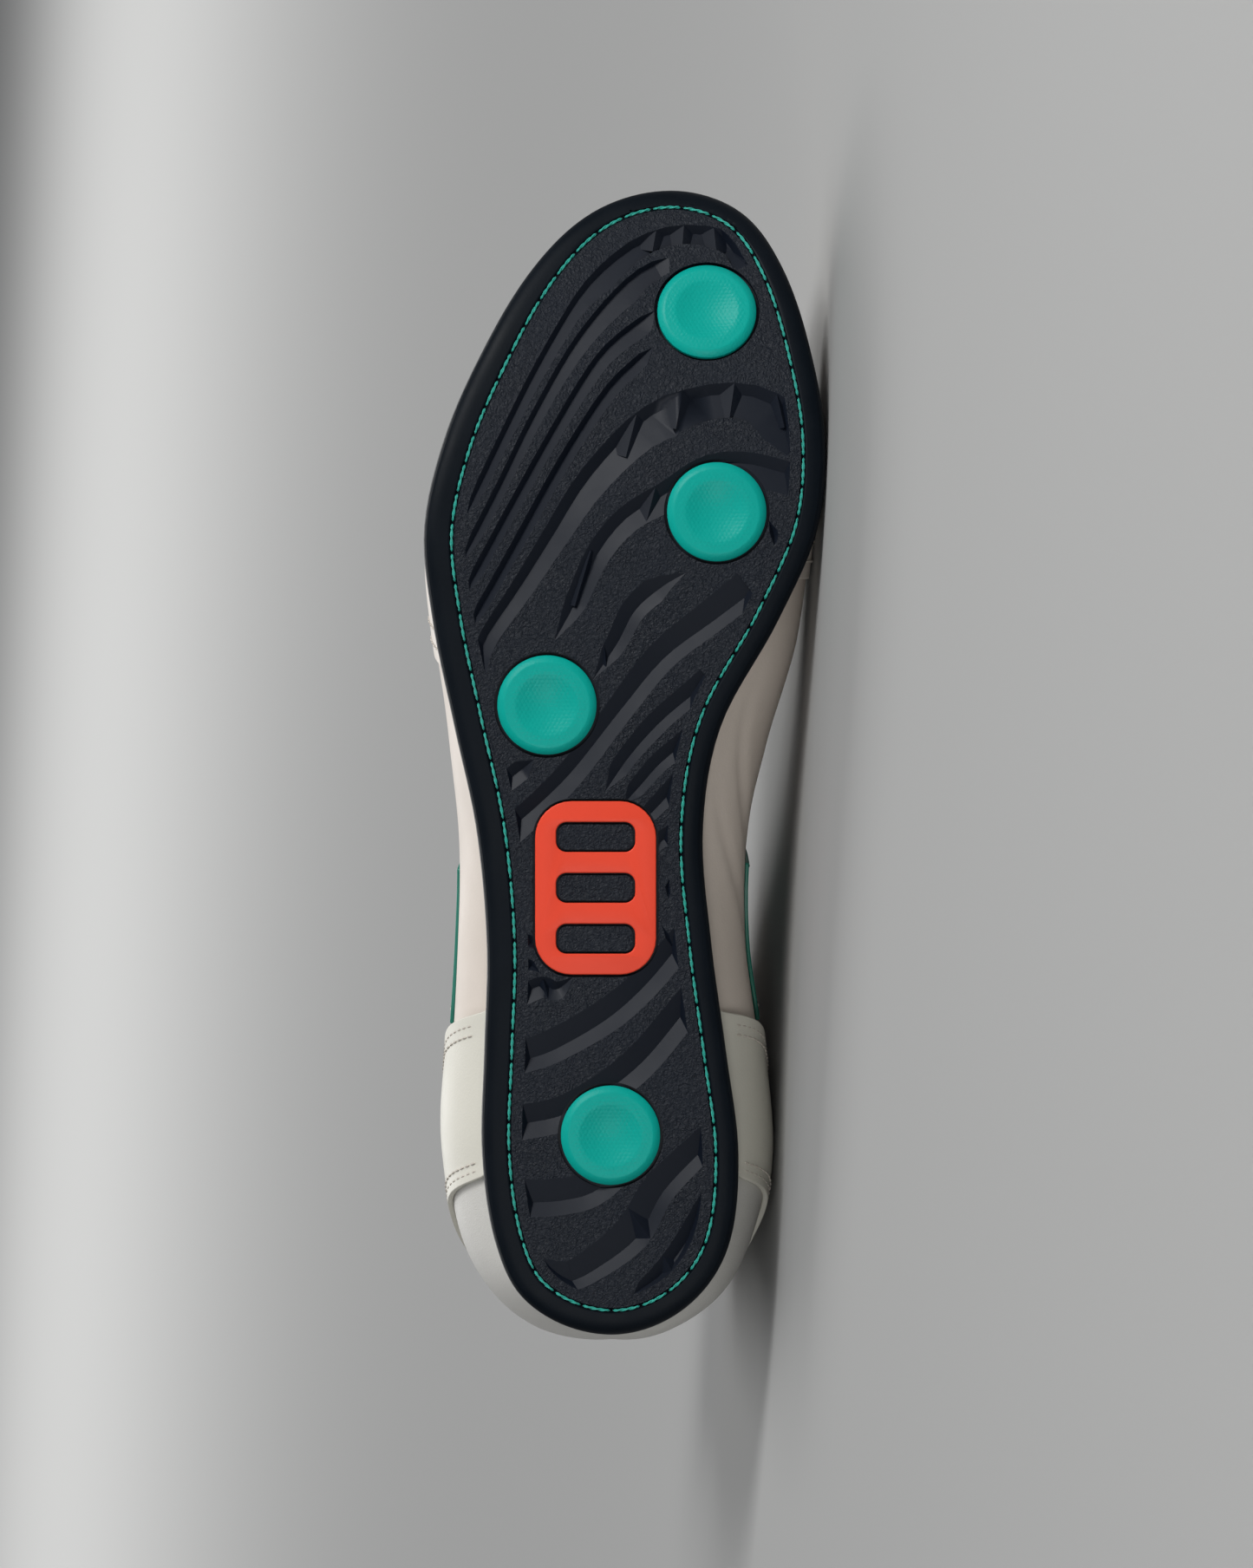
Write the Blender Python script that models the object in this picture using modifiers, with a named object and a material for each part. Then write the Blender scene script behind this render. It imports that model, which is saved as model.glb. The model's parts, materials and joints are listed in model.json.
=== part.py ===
"""A right wrestling boot: a low rubber cup sole with a wave tread and four grip discs,
under a hollow lace-up upper, lying on its inner side.

It is modelled upright in the boot's own frame (X to the outer side, Y to the toe, Z up from
the tread), and an empty then lays every piece on its side: the sole faces -Y, the toe points
to +X. All sizes are in metres.
"""

import math

import bmesh
import bpy
from mathutils import Matrix, Vector

MM = 0.001

# Driving sizes
SOLE_LENGTH = 285 * MM
BALL_WIDTH = 99.7 * MM
SOLE_THICKNESS = 6 * MM
LIP_HEIGHT = 3.4 * MM
LIP_WALL = 1.9 * MM
TOE_SPRING = 23 * MM
HEEL_LIFT = 1.2 * MM
ARCH_LIFT = 1 * MM
COLLAR_HEIGHT = 142 * MM
INSTEP_HEIGHT = 69 * MM
COLLAR_WIDTH = 66 * MM
COLLAR_LENGTH = 100 * MM
THROAT_START = 171 * MM
THROAT_WIDTH = 22 * MM
UPPER_WALL = 2 * MM
COLLAR_PADDING = 1.6 * MM
OVERLAY_GAP = 0.6 * MM
OVERLAY_THICKNESS = 1.1 * MM
INSOLE_THICKNESS = 3.5 * MM
TONGUE_THICKNESS = 2.6 * MM
TONGUE_GAP = 0.9 * MM
TONGUE_TUCK = 8 * MM
TONGUE_CROWN = 2.4 * MM
TONGUE_RISE = 9 * MM
TONGUE_TOE = 0.9375
TONGUE_TOP = 0.46875
LACE_WIDTH = 5 * MM
LACE_THICKNESS = 1.8 * MM
LACE_CROWN = 3.2 * MM
EYELET_PAIRS = 7
DISC_RADIUS = 12.3 * MM
DISC_THICKNESS = 2.6 * MM
DISC_POCKET = 2.1 * MM
BADGE_LENGTH = 43 * MM
BADGE_WIDTH = 30 * MM
BADGE_BAND = 5.2 * MM
BADGE_POCKET = 1.5 * MM
SEAT_GAP = 0.3 * MM
POCKET_GAP = 0.8 * MM

# How finely curved pieces are divided
SOLE_STATIONS = 32
UPPER_COLUMNS = 64
UPPER_ROWS = 12
FOOT_ROWS = (0.0, 4.4 * MM, 9 * MM, 15 * MM, 23 * MM)
DENSE_STEPS = 72

# The last, heel to toe. Columns: share of the length, outer and inner half width as shares
# of the ball width, and how far the upper stands out past the sole on each side.
LAST_SECTIONS = (
    (0.00, 0.000, 0.000, 2.0 * MM, 2.0 * MM),
    (0.03, 0.214, 0.206, 5.0 * MM, 4.0 * MM),
    (0.08, 0.288, 0.294, 7.5 * MM, 4.8 * MM),
    (0.16, 0.322, 0.316, 8.8 * MM, 7.0 * MM),
    (0.25, 0.316, 0.284, 8.6 * MM, 8.2 * MM),
    (0.34, 0.310, 0.249, 8.0 * MM, 9.2 * MM),
    (0.44, 0.336, 0.228, 5.8 * MM, 11.8 * MM),
    (0.53, 0.391, 0.273, 3.2 * MM, 13.0 * MM),
    (0.62, 0.444, 0.413, 1.8 * MM, 7.6 * MM),
    (0.70, 0.466, 0.512, 0.8 * MM, 0.6 * MM),
    (0.78, 0.416, 0.532, 0.6 * MM, 0.0 * MM),
    (0.86, 0.317, 0.495, 1.0 * MM, 0.0 * MM),
    (0.93, 0.197, 0.429, 1.0 * MM, 0.0 * MM),
    (0.98, 0.049, 0.326, 0.4 * MM, 0.0 * MM),
    (1.00, -0.150, 0.150, 0.0 * MM, 0.0 * MM),
)

# The top edge of the upper along one side. Columns: place along the side from heel (0) to
# toe (1), half width as a share of the collar's half width, distance forward as a share of
# the collar's length up to the collar corner and of the way to the throat's start after it,
# and height as a share of the way from instep to collar.
COLLAR_CORNER = 0.42
TOP_EDGE = (
    (0.00, 0.00, 0.03, 1.02),
    (0.10, 0.62, 0.13, 0.99),
    (0.19, 0.95, 0.34, 0.91),
    (0.28, 0.97, 0.60, 0.89),
    (0.36, 0.74, 0.86, 0.96),
    (0.42, 0.50, 1.02, 0.95),
    (0.47, 0.40, 1.20, 0.66),
    (0.54, 0.36, 1.49, 0.31),
    (0.62, 0.33, 1.78, 0.06),
    (0.72, 0.25, 1.93, -0.02),
    (0.86, 0.13, 1.99, -0.05),
    (1.00, 0.00, 2.00, -0.06),
)

# The wall between sole and top edge. Columns: place along the side as above, the share of
# the height that rises steeply, the squareness of that curve, and the hollow at the ankle.
WALL_SHAPE = (
    (0.00, 0.50, 2.0, 6.0 * MM),
    (0.15, 0.50, 2.0, 3.0 * MM),
    (0.30, 0.50, 2.0, 0.5 * MM),
    (0.45, 0.62, 2.0, 0.0 * MM),
    (0.60, 0.86, 2.2, 0.0 * MM),
    (0.75, 0.80, 2.6, 0.0 * MM),
    (0.90, 0.76, 3.2, 0.0 * MM),
    (1.00, 0.74, 3.4, 0.0 * MM),
)
FLARE_HEIGHT = 27 * MM

# The wave grooves of the tread. Each row is a groove from its outer to its inner end, as
# shares of the sole's length and ball width: the bottom of the groove at its start, two
# points between and its end, then its slope widths to the toe side and to the heel side.
GROOVE_DEPTH = 1.5 * MM
GROOVES = (
    ("toe_1", (0.720, 0.357), (0.850, 0.150), (0.945, -0.008), (0.972, -0.145), 1.3, 2.6),
    ("toe_2", (0.680, 0.366), (0.790, 0.202), (0.878, 0.060), (0.938, -0.130), 1.3, 2.2),
    ("toe_3", (0.650, 0.362), (0.750, 0.206), (0.842, 0.060), (0.892, -0.105), 1.2, 1.7),
    ("toe_4", (0.616, 0.352), (0.714, 0.196), (0.806, 0.060), (0.860, -0.098), 1.2, 1.7),
    ("toe_crown", (0.953, -0.168), (0.955, -0.210), (0.952, -0.262), (0.938, -0.340), 3.0, 3.0),
    ("ball_long", (0.590, 0.334), (0.713, 0.115), (0.812, -0.100), (0.812, -0.420), 3.8, 4.6),
    ("ball_short", (0.598, 0.158), (0.661, 0.055), (0.714, -0.052), (0.740, -0.112), 2.6, 3.6),
    ("ball_inner", (0.762, -0.300), (0.755, -0.340), (0.752, -0.385), (0.748, -0.432), 3.6, 3.8),
    ("waist_fork", (0.585, 0.010), (0.632, -0.066), (0.655, -0.160), (0.674, -0.270), 3.2, 4.4),
    ("waist_long", (0.447, 0.225), (0.520, 0.034), (0.588, -0.140), (0.640, -0.335), 4.0, 3.2),
    ("waist_outer", (0.482, 0.272), (0.487, 0.248), (0.494, 0.224), (0.500, 0.206), 2.4, 2.8),
    ("shank_1", (0.476, 0.010), (0.510, -0.068), (0.530, -0.124), (0.547, -0.198), 2.4, 1.8),
    ("shank_2", (0.458, -0.024), (0.480, -0.066), (0.492, -0.106), (0.504, -0.156), 2.2, 2.2),
    ("shank_3", (0.440, -0.066), (0.452, -0.090), (0.458, -0.116), (0.468, -0.146), 1.9, 2.0),
    ("shank_4", (0.304, 0.215), (0.310, 0.172), (0.316, 0.130), (0.324, 0.090), 2.4, 2.6),
    ("heel_1", (0.243, 0.216), (0.255, 0.088), (0.300, -0.064), (0.335, -0.200), 4.6, 2.8),
    ("heel_2", (0.182, 0.213), (0.192, 0.080), (0.238, -0.060), (0.274, -0.184), 4.6, 3.0),
    ("heel_3", (0.115, 0.202), (0.120, 0.050), (0.175, -0.108), (0.221, -0.208), 4.6, 3.2),
    ("heel_4", (0.055, 0.140), (0.052, 0.060), (0.108, -0.092), (0.156, -0.222), 4.4, 3.4),
    ("heel_5", (0.034, -0.040), (0.052, -0.120), (0.082, -0.188), (0.118, -0.232), 3.2, 3.0),
)
GROOVE_STEPS = 5

# Grip discs. Columns: name, share of the length, share of the ball width towards the outer side.
DISCS = (
    ("grip_disc_toe", 0.892, -0.238),
    ("grip_disc_ball", 0.716, -0.262),
    ("grip_disc_outer", 0.548, 0.160),
    ("grip_disc_heel", 0.174, 0.002),
)
BADGE_PLACE = (0.389, 0.039)

# The heel strap. Columns: place along the side, lower and upper edge as shares of the wall.
STRAP_EDGES = (
    (0.00, 0.47, 0.76),
    (0.06, 0.46, 0.75),
    (0.12, 0.42, 0.72),
    (0.18, 0.34, 0.67),
    (0.22, 0.19, 0.62),
    (0.25, 0.05, 0.56),
    (0.29, 0.05, 0.46),
    (0.33, 0.05, 0.27),
    (0.35, 0.05, 0.12),
)
STRAP_COLUMNS = (1, 2, 3, 4, 5, 6, 6.33, 6.67, 7, 7.33, 7.67, 8, 9, 9.5, 10, 10.33, 10.67, 11)
PANEL_COLUMNS = (11, 11.5, 12, 12.5, 13, 13.5, 14, 14.5, 15, 15.5, 16)
# The side panels, in the same columns.
PANEL_EDGES = (
    (0.344, 0.26, 0.29),
    (0.375, 0.26, 0.44),
    (0.406, 0.26, 0.62),
    (0.4375, 0.27, 0.73),
    (0.469, 0.45, 0.715),
    (0.50, 0.67, 0.70),
)
STRAP_FOOT = 5 * MM
EYESTAY_WIDTH = 17 * MM
EYESTAY_MARGIN = 1.5 * MM
EYESTAY_ENDS = 0.4375
EYELET_INSET = 8 * MM
LACED_SPAN = (0.435, 0.625)

DENSITY = {"outsole": 1150, "insole": 200, "upper": 700, "tongue": 300, "laces": 500}
OTHER_DENSITY = 900


def blend_rows(rows, column, at):
    """The value of one column of a table at a place between its rows, on a smooth curve."""
    last = len(rows) - 1
    k = 0
    while k < last - 1 and at > rows[k + 1][0]:
        k += 1

    def slope(i):
        low, high = max(i - 1, 0), min(i + 1, last)
        return (rows[high][column] - rows[low][column]) / (rows[high][0] - rows[low][0])

    span = rows[k + 1][0] - rows[k][0]
    t = (at - rows[k][0]) / span
    return (
        rows[k][column] * (2 * t**3 - 3 * t**2 + 1)
        + rows[k + 1][column] * (3 * t**2 - 2 * t**3)
        + slope(k) * span * (t**3 - 2 * t**2 + t)
        + slope(k + 1) * span * (t**3 - t**2)
    )


def angle_rows():
    """The last's sections with the share of length turned into an angle, so the ends are round."""
    return [(math.acos(1 - 2 * row[0]), *row[1:]) for row in LAST_SECTIONS]


ANGLE_ROWS = angle_rows()


def smooth_step(value):
    t = min(max(value, 0.0), 1.0)
    return t * t * (3 - 2 * t)


def side_of(s):
    """Splits a place on the loop (0 heel, 1 toe, 2 heel again) into side, place and side sign."""
    s = s % 2
    return (1, s, 1) if s <= 1 else (2, 2 - s, -1)


def outline(s):
    """A point of the sole's outline."""
    column, place, sign = side_of(s)
    angle = math.pi * place
    half = blend_rows(ANGLE_ROWS, column, angle) * BALL_WIDTH
    return Vector((sign * half, SOLE_LENGTH * (1 - math.cos(angle)) / 2))


def outward(s):
    """The outline's unit normal, pointing out."""
    step = 0.004
    along = outline(s + step) - outline(s - step)
    return Vector((along.y, -along.x)).normalized()


def inset(s, distance):
    return outline(s) - outward(s) * distance


def sole_z(y):
    """Height of the tread over the ground: heel lift, arch and toe spring."""
    share = y / SOLE_LENGTH
    heel = HEEL_LIFT * max(0.0, 1 - share / 0.06) ** 2
    arch = ARCH_LIFT * math.sin(math.pi * min(max((share - 0.26) / 0.26, 0), 1)) ** 2
    toe = TOE_SPRING * (max(0.0, share - 0.68) / 0.32) ** 2
    return heel + arch + toe


def loop_places(count):
    return [2 * i / count for i in range(count)]


def new_object(name, mesh, material, collection):
    obj = bpy.data.objects.new(name, mesh)
    collection.objects.link(obj)
    if material:
        obj.data.materials.append(material)
    return obj


def mesh_from(name, points, faces, merge=False):
    """A triangle mesh with its faces turned outwards."""
    mesh = bpy.data.meshes.new(name)
    mesh.from_pydata([tuple(p) for p in points], [], faces)
    work = bmesh.new()
    work.from_mesh(mesh)
    if merge:
        bmesh.ops.remove_doubles(work, verts=work.verts, dist=0.00001)
    bmesh.ops.triangulate(work, faces=work.faces, quad_method="FIXED")
    bmesh.ops.recalc_face_normals(work, faces=work.faces)
    work.to_mesh(mesh)
    work.free()
    mesh.shade_smooth()
    mesh.set_sharp_from_angle(angle=math.radians(40))
    return mesh


def ring_faces(rings, count):
    """Quads between rings of equal count, given as start indices in order."""
    faces = []
    for a, b in zip(rings, rings[1:]):
        for i in range(count):
            j = (i + 1) % count
            faces.append((a + i, a + j, b + j, b + i))
    return faces


def across_faces(start, count):
    """Quads straight across a heel-to-toe loop, from its outer to its inner side."""
    faces = []
    half = count // 2
    for i in range(half):
        a, b = i, i + 1
        c, d = (count - i - 1) % count, (count - i) % count
        corners = [start + a, start + b, start + c, start + d]
        faces.append(tuple(dict.fromkeys(corners)))
    return faces


def plate(name, profile, material, collection):
    """A closed plate in the sole's outline. The profile is a row of (inset, height) pairs."""
    count = 2 * SOLE_STATIONS
    points, rings = [], []
    for distance, height in profile:
        rings.append(len(points))
        for s in loop_places(count):
            flat = inset(s, distance)
            points.append(Vector((flat.x, flat.y, sole_z(flat.y) + height)))
    faces = ring_faces(rings, count)
    faces += across_faces(rings[0], count) + across_faces(rings[-1], count)
    return new_object(name, mesh_from(name, points, faces), material, collection)


def bezier(p0, p1, p2, p3, t):
    """A curve through four points, evenly spaced in t."""
    def weight(i):
        value = 1.0
        for j in range(4):
            if j != i:
                value *= (3 * t - j) / (i - j)
        return value
    return p0 * weight(0) + p1 * weight(1) + p2 * weight(2) + p3 * weight(3)


def groove_cutter(row, collection):
    """A V-shaped cutter along one groove, tapered at both ends."""
    name, *marks, toe_side, heel_side = row
    knots = [Vector((m[1] * BALL_WIDTH, m[0] * SOLE_LENGTH)) for m in marks]
    points = []
    for i in range(GROOVE_STEPS + 1):
        t = i / GROOVE_STEPS
        here = bezier(*knots, t)
        along = (bezier(*knots, t + 0.01) - bezier(*knots, t - 0.01)).normalized()
        side = Vector((along.y, -along.x))
        if side.y < 0:
            side = -side
        taper = 0.25 + 0.75 * math.sin(math.pi * (0.06 + 0.88 * t)) ** 0.5
        base = sole_z(here.y)
        depth = GROOVE_DEPTH * taper
        above = GROOVE_DEPTH
        grow = 1 + above / depth
        for share, rise in ((0, depth), (toe_side * grow, -above), (-heel_side * grow, -above)):
            flat = here + side * share * MM * taper
            points.append(Vector((flat.x, flat.y, base + rise)))
    faces = []
    for i in range(GROOVE_STEPS):
        a, b = 3 * i, 3 * i + 3
        faces += [(a + k, a + (k + 1) % 3, b + (k + 1) % 3, b + k) for k in range(3)]
    end = 3 * GROOVE_STEPS
    faces += [(0, 1, 2), (end, end + 1, end + 2)]
    cutter = new_object("cut_" + name, mesh_from("cut_" + name, points, faces), None, collection)
    hide_helper(cutter)
    return cutter


def hide_helper(obj):
    obj.hide_render = True
    obj.display_type = "WIRE"


def cut_all(obj, cutters):
    """Cuts every helper of a collection out of an object at once, then welds tiny edges."""
    modifier = obj.modifiers.new("cut", "BOOLEAN")
    modifier.operation = "DIFFERENCE"
    modifier.solver = "EXACT"
    modifier.operand_type = "COLLECTION"
    modifier.collection = cutters
    weld = obj.modifiers.new("weld", "WELD")
    weld.merge_threshold = 0.00002


def disc_seat(share, across):
    """Where a disc sits on the tread: its place, and its tilt with the toe spring."""
    y = share * SOLE_LENGTH
    step = 1 * MM
    tilt = math.atan2(sole_z(y + step) - sole_z(y - step), 2 * step)
    place = Vector((across * BALL_WIDTH, y, sole_z(y)))
    return Matrix.Translation(place) @ Matrix.Rotation(tilt, 4, "X")


def turned(name, profile, material, collection):
    """A closed turned solid about Z, from a profile of (radius, height) pairs."""
    steps = 24
    work = bmesh.new()
    previous = None
    for radius, height in profile:
        vert = work.verts.new((radius, 0, height))
        if previous:
            work.edges.new((previous, vert))
        previous = vert
    mesh = bpy.data.meshes.new(name)
    work.to_mesh(mesh)
    work.free()
    obj = new_object(name, mesh, material, collection)
    screw = obj.modifiers.new("turn", "SCREW")
    screw.steps = screw.render_steps = steps
    screw.use_merge_vertices = True
    screw.merge_threshold = 0.00001
    return obj


def solid_mesh(obj, collection):
    """Turns an object's modifiers or curve into a plain triangle mesh with closed caps."""
    graph = bpy.context.evaluated_depsgraph_get()
    mesh = bpy.data.meshes.new_from_object(obj.evaluated_get(graph))
    work = bmesh.new()
    work.from_mesh(mesh)
    bmesh.ops.remove_doubles(work, verts=work.verts, dist=0.00002)
    bmesh.ops.triangulate(work, faces=work.faces)
    bmesh.ops.recalc_face_normals(work, faces=work.faces)
    work.to_mesh(mesh)
    work.free()
    made = bpy.data.objects.new(obj.name, mesh)
    made.matrix_world = obj.matrix_world
    collection.objects.link(made)
    name = obj.name
    bpy.data.objects.remove(obj)
    made.name = name
    return made


def grip_disc(name, share, across, material, collection, cutters):
    """A moulded grip disc with a bevelled rim and a dished face, and the cutter of its pocket."""
    top = DISC_POCKET - SEAT_GAP
    face = top - DISC_THICKNESS
    rim = DISC_RADIUS - 1.6 * MM
    dish = 0.8 * MM
    profile = (
        (0, top), (DISC_RADIUS, top), (DISC_RADIUS, face + 0.8 * MM), (rim, face),
        (0.6 * DISC_RADIUS, face + 0.75 * dish), (0, face + dish),
    )
    disc = solid_mesh(turned(name, profile, material, collection), collection)
    disc.matrix_world = disc_seat(share, across)
    disc.data.shade_smooth()
    disc.data.set_sharp_from_angle(angle=math.radians(30))
    radius = DISC_RADIUS + POCKET_GAP
    pocket = turned(
        "cut_" + name,
        ((0, DISC_POCKET), (radius, DISC_POCKET), (radius, -4 * MM), (0, -4 * MM)),
        None,
        collection,
    )
    pocket = solid_mesh(pocket, cutters)
    pocket.matrix_world = disc_seat(share, across)
    hide_helper(pocket)
    return disc


def rounded_loop(curve, centre, width, length, radius):
    """Adds a rounded rectangle to a 2D curve, with arcs of a few points at its corners."""
    arc_steps = 3
    spline = curve.splines.new("POLY")
    points = []
    for quarter, (sx, sy) in enumerate(((1, 1), (-1, 1), (-1, -1), (1, -1))):
        corner = Vector((sx * (width / 2 - radius), sy * (length / 2 - radius)))
        for i in range(arc_steps + 1):
            turn = math.pi / 2 * (quarter + i / arc_steps)
            points.append(corner + radius * Vector((math.cos(turn), math.sin(turn))) + centre)
    spline.points.add(len(points) - 1)
    for target, point in zip(spline.points, points):
        target.co = (point.x, point.y, 0, 1)
    spline.use_cyclic_u = True


def window_frame(name, grow, depth, material, collection):
    """A flat frame with three rounded windows. Grow widens its bands on every side."""
    curve = bpy.data.curves.new(name, "CURVE")
    curve.dimensions = "2D"
    curve.fill_mode = "BOTH"
    curve.extrude = depth / 2
    corner = 9 * MM
    rounded_loop(
        curve, Vector((0, 0)), BADGE_WIDTH + 2 * grow, BADGE_LENGTH + 2 * grow, corner + grow
    )
    wide = BADGE_WIDTH - 2 * BADGE_BAND
    pitch = (BADGE_LENGTH - BADGE_BAND) / 3
    tall = pitch - BADGE_BAND
    for k in (-1, 0, 1):
        rounded_loop(
            curve, Vector((0, k * pitch)), wide - 2 * grow, tall - 2 * grow, 2.6 * MM - grow
        )
    obj = new_object(name, curve, material, collection)
    return obj


def arch_badge(material, collection, cutters):
    """The plain window frame let into the arch of the tread, and the cutter of its seat."""
    thickness = BADGE_POCKET - SEAT_GAP + 0.4 * MM
    y, x = BADGE_PLACE[0] * SOLE_LENGTH, BADGE_PLACE[1] * BALL_WIDTH
    floor = sole_z(y) + BADGE_POCKET
    frame = window_frame("arch_badge", 0, thickness, material, collection)
    badge = solid_mesh(frame, collection)
    badge.data.transform(Matrix.Translation((0, 0, -thickness / 2)))
    badge.location = (x, y, floor - SEAT_GAP)
    reach = BADGE_POCKET + 3 * MM
    seat = solid_mesh(window_frame("cut_badge", 0.5 * MM, reach, None, collection), cutters)
    seat.data.transform(Matrix.Translation((0, 0, -reach / 2)))
    seat.location = (x, y, floor)
    hide_helper(seat)
    return badge


def outsole(material, collection, cutters):
    """The rubber cup sole: rounded rim, lip, wave tread, disc and badge seats."""
    lip_top = SOLE_THICKNESS + LIP_HEIGHT
    profile = (
        (4.2 * MM, 0), (1.9 * MM, 0.35 * MM), (0.55 * MM, 1.2 * MM), (0, 2.6 * MM),
        (0, lip_top - 0.6 * MM), (0.5 * LIP_WALL, lip_top), (LIP_WALL, lip_top - 0.5 * MM),
        (LIP_WALL, SOLE_THICKNESS),
    )
    sole = plate("outsole", profile, material, collection)
    for row in GROOVES:
        groove_cutter(row, cutters)
    cut_all(sole, cutters)
    return sole


def top_edge(s):
    """A point of the upper's top edge: collar, throat and the throat's round start."""
    _, place, sign = side_of(s)
    half = blend_rows(TOP_EDGE, 1, place) * COLLAR_WIDTH / 2
    forward = blend_rows(TOP_EDGE, 2, place)
    rise = blend_rows(TOP_EDGE, 3, place)
    if forward <= 1:
        y = forward * COLLAR_LENGTH
    else:
        y = COLLAR_LENGTH + (forward - 1) * (THROAT_START - COLLAR_LENGTH)
    z = INSTEP_HEIGHT + rise * (COLLAR_HEIGHT - INSTEP_HEIGHT)
    return Vector((sign * half, y, z))


COLUMNS = {}


def column(s):
    """One line up the upper's outer face, from the sole to the top edge: points and lengths."""
    key = round(s % 2, 6)
    if key in COLUMNS:
        return COLUMNS[key]
    side, place, _ = side_of(s)
    foot = inset(s, LIP_WALL + SEAT_GAP)
    out = outward(s)
    top = top_edge(s)
    base = sole_z(foot.y) + SOLE_THICKNESS + SEAT_GAP
    height = top.z - base
    steep = blend_rows(WALL_SHAPE, 1, place)
    square = blend_rows(WALL_SHAPE, 2, place)
    hollow = blend_rows(WALL_SHAPE, 3, place)
    flare = LIP_WALL + SEAT_GAP + blend_rows(ANGLE_ROWS, 2 + side, math.pi * place)
    shift = Vector((top.x, top.y)) - foot
    peak = min(FLARE_HEIGHT, 0.5 * height)
    points = []
    for i in range(DENSE_STEPS + 1):
        turn = math.pi / 2 * i / DENSE_STEPS
        inward = 1 - max(math.cos(turn), 0) ** (2 / square)
        rise = steep * math.sin(turn) ** (2 / square) + (1 - steep) * inward
        up = rise * height
        climb = min(max((up - FOOT_ROWS[1]) / (peak - FOOT_ROWS[1]), 0), 1)
        swell = math.sin(math.pi / 2 * climb)
        swell *= 1 - smooth_step((up - peak) / (height - peak))
        waist = math.sin(math.pi * smooth_step((rise - 0.3) / 0.7)) ** 2
        flat = foot + shift * inward + out * (flare * swell - hollow * waist)
        points.append(Vector((flat.x, flat.y, base + up)))
    lengths = [0.0]
    for a, b in zip(points, points[1:]):
        lengths.append(lengths[-1] + (b - a).length)
    COLUMNS[key] = (points, lengths)
    return COLUMNS[key]


def on_column(s, length):
    points, lengths = column(s)
    length = min(max(length, 0), lengths[-1])
    k = 0
    while k < len(lengths) - 2 and lengths[k + 1] < length:
        k += 1
    span = max(lengths[k + 1] - lengths[k], 1e-9)
    return points[k].lerp(points[k + 1], (length - lengths[k]) / span)


def smooth_normal(s, length):
    """The outward unit normal of the smooth wall at a length up its column."""
    total = column(s)[1][-1]
    step = 1.2 * MM
    low, high = max(length - step, 0), min(length + step, total)
    up = on_column(s, high) - on_column(s, low)
    turn = 0.006
    share = length / total
    ahead = on_column(s + turn, share * column(s + turn)[1][-1])
    behind = on_column(s - turn, share * column(s - turn)[1][-1])
    return (ahead - behind).cross(up).normalized()


def row_lengths(total):
    """How far up a column each row of the upper lies: fixed steps at the foot, then even."""
    rest = UPPER_ROWS + 1 - len(FOOT_ROWS)
    start = FOOT_ROWS[-1]
    return [*FOOT_ROWS, *(start + (total - start) * (i + 1) / rest for i in range(rest))]


WALL = []


def wall_grid():
    """Every corner of the upper's outer face with its normal, column by column."""
    if not WALL:
        for s in loop_places(UPPER_COLUMNS):
            total = column(s)[1][-1]
            lengths = row_lengths(total)
            WALL.append(
                (total, [(on_column(s, a), smooth_normal(s, a)) for a in lengths])
            )
    return WALL


def wall_length(s):
    """The length of the faceted wall's column at any place on the loop."""
    grid = wall_grid()
    at = (s % 2) / 2 * UPPER_COLUMNS
    k, part = int(at) % UPPER_COLUMNS, at - int(at)
    return grid[k][0] * (1 - part) + grid[(k + 1) % UPPER_COLUMNS][0] * part


def wall_place(s, share):
    """A point of the upper's faceted outer face and the normal there."""
    grid = wall_grid()
    at = (s % 2) / 2 * UPPER_COLUMNS
    k, part = int(at) % UPPER_COLUMNS, at - int(at)
    total = wall_length(s)
    lengths = row_lengths(total)
    length = min(max(share, 0), 1) * total
    r = 0
    while r < UPPER_ROWS - 1 and lengths[r + 1] < length:
        r += 1
    rise = (length - lengths[r]) / (lengths[r + 1] - lengths[r])
    near, far = grid[k][1], grid[(k + 1) % UPPER_COLUMNS][1]
    found = []
    for i in (0, 1):
        low = near[r][i] * (1 - part) + far[r][i] * part
        high = near[r + 1][i] * (1 - part) + far[r + 1][i] * part
        found.append(low * (1 - rise) + high * rise)
    return found[0], found[1].normalized()


def wall_point(s, share, out=0.0):
    """A point of the upper at a share of its wall's height, moved out along the normal."""
    place, normal = wall_place(s, share)
    return place + normal * out


def wall_normal(s, share):
    return wall_place(s, share)[1]


def wall_thickness(s, share):
    _, place, _ = side_of(s)
    near_top = smooth_step((share - 0.72) / 0.2) * (1 - smooth_step((share - 0.95) / 0.05))
    round_collar = 1 - smooth_step((place - 0.34) / 0.1)
    return UPPER_WALL + COLLAR_PADDING * near_top * round_collar


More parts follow.
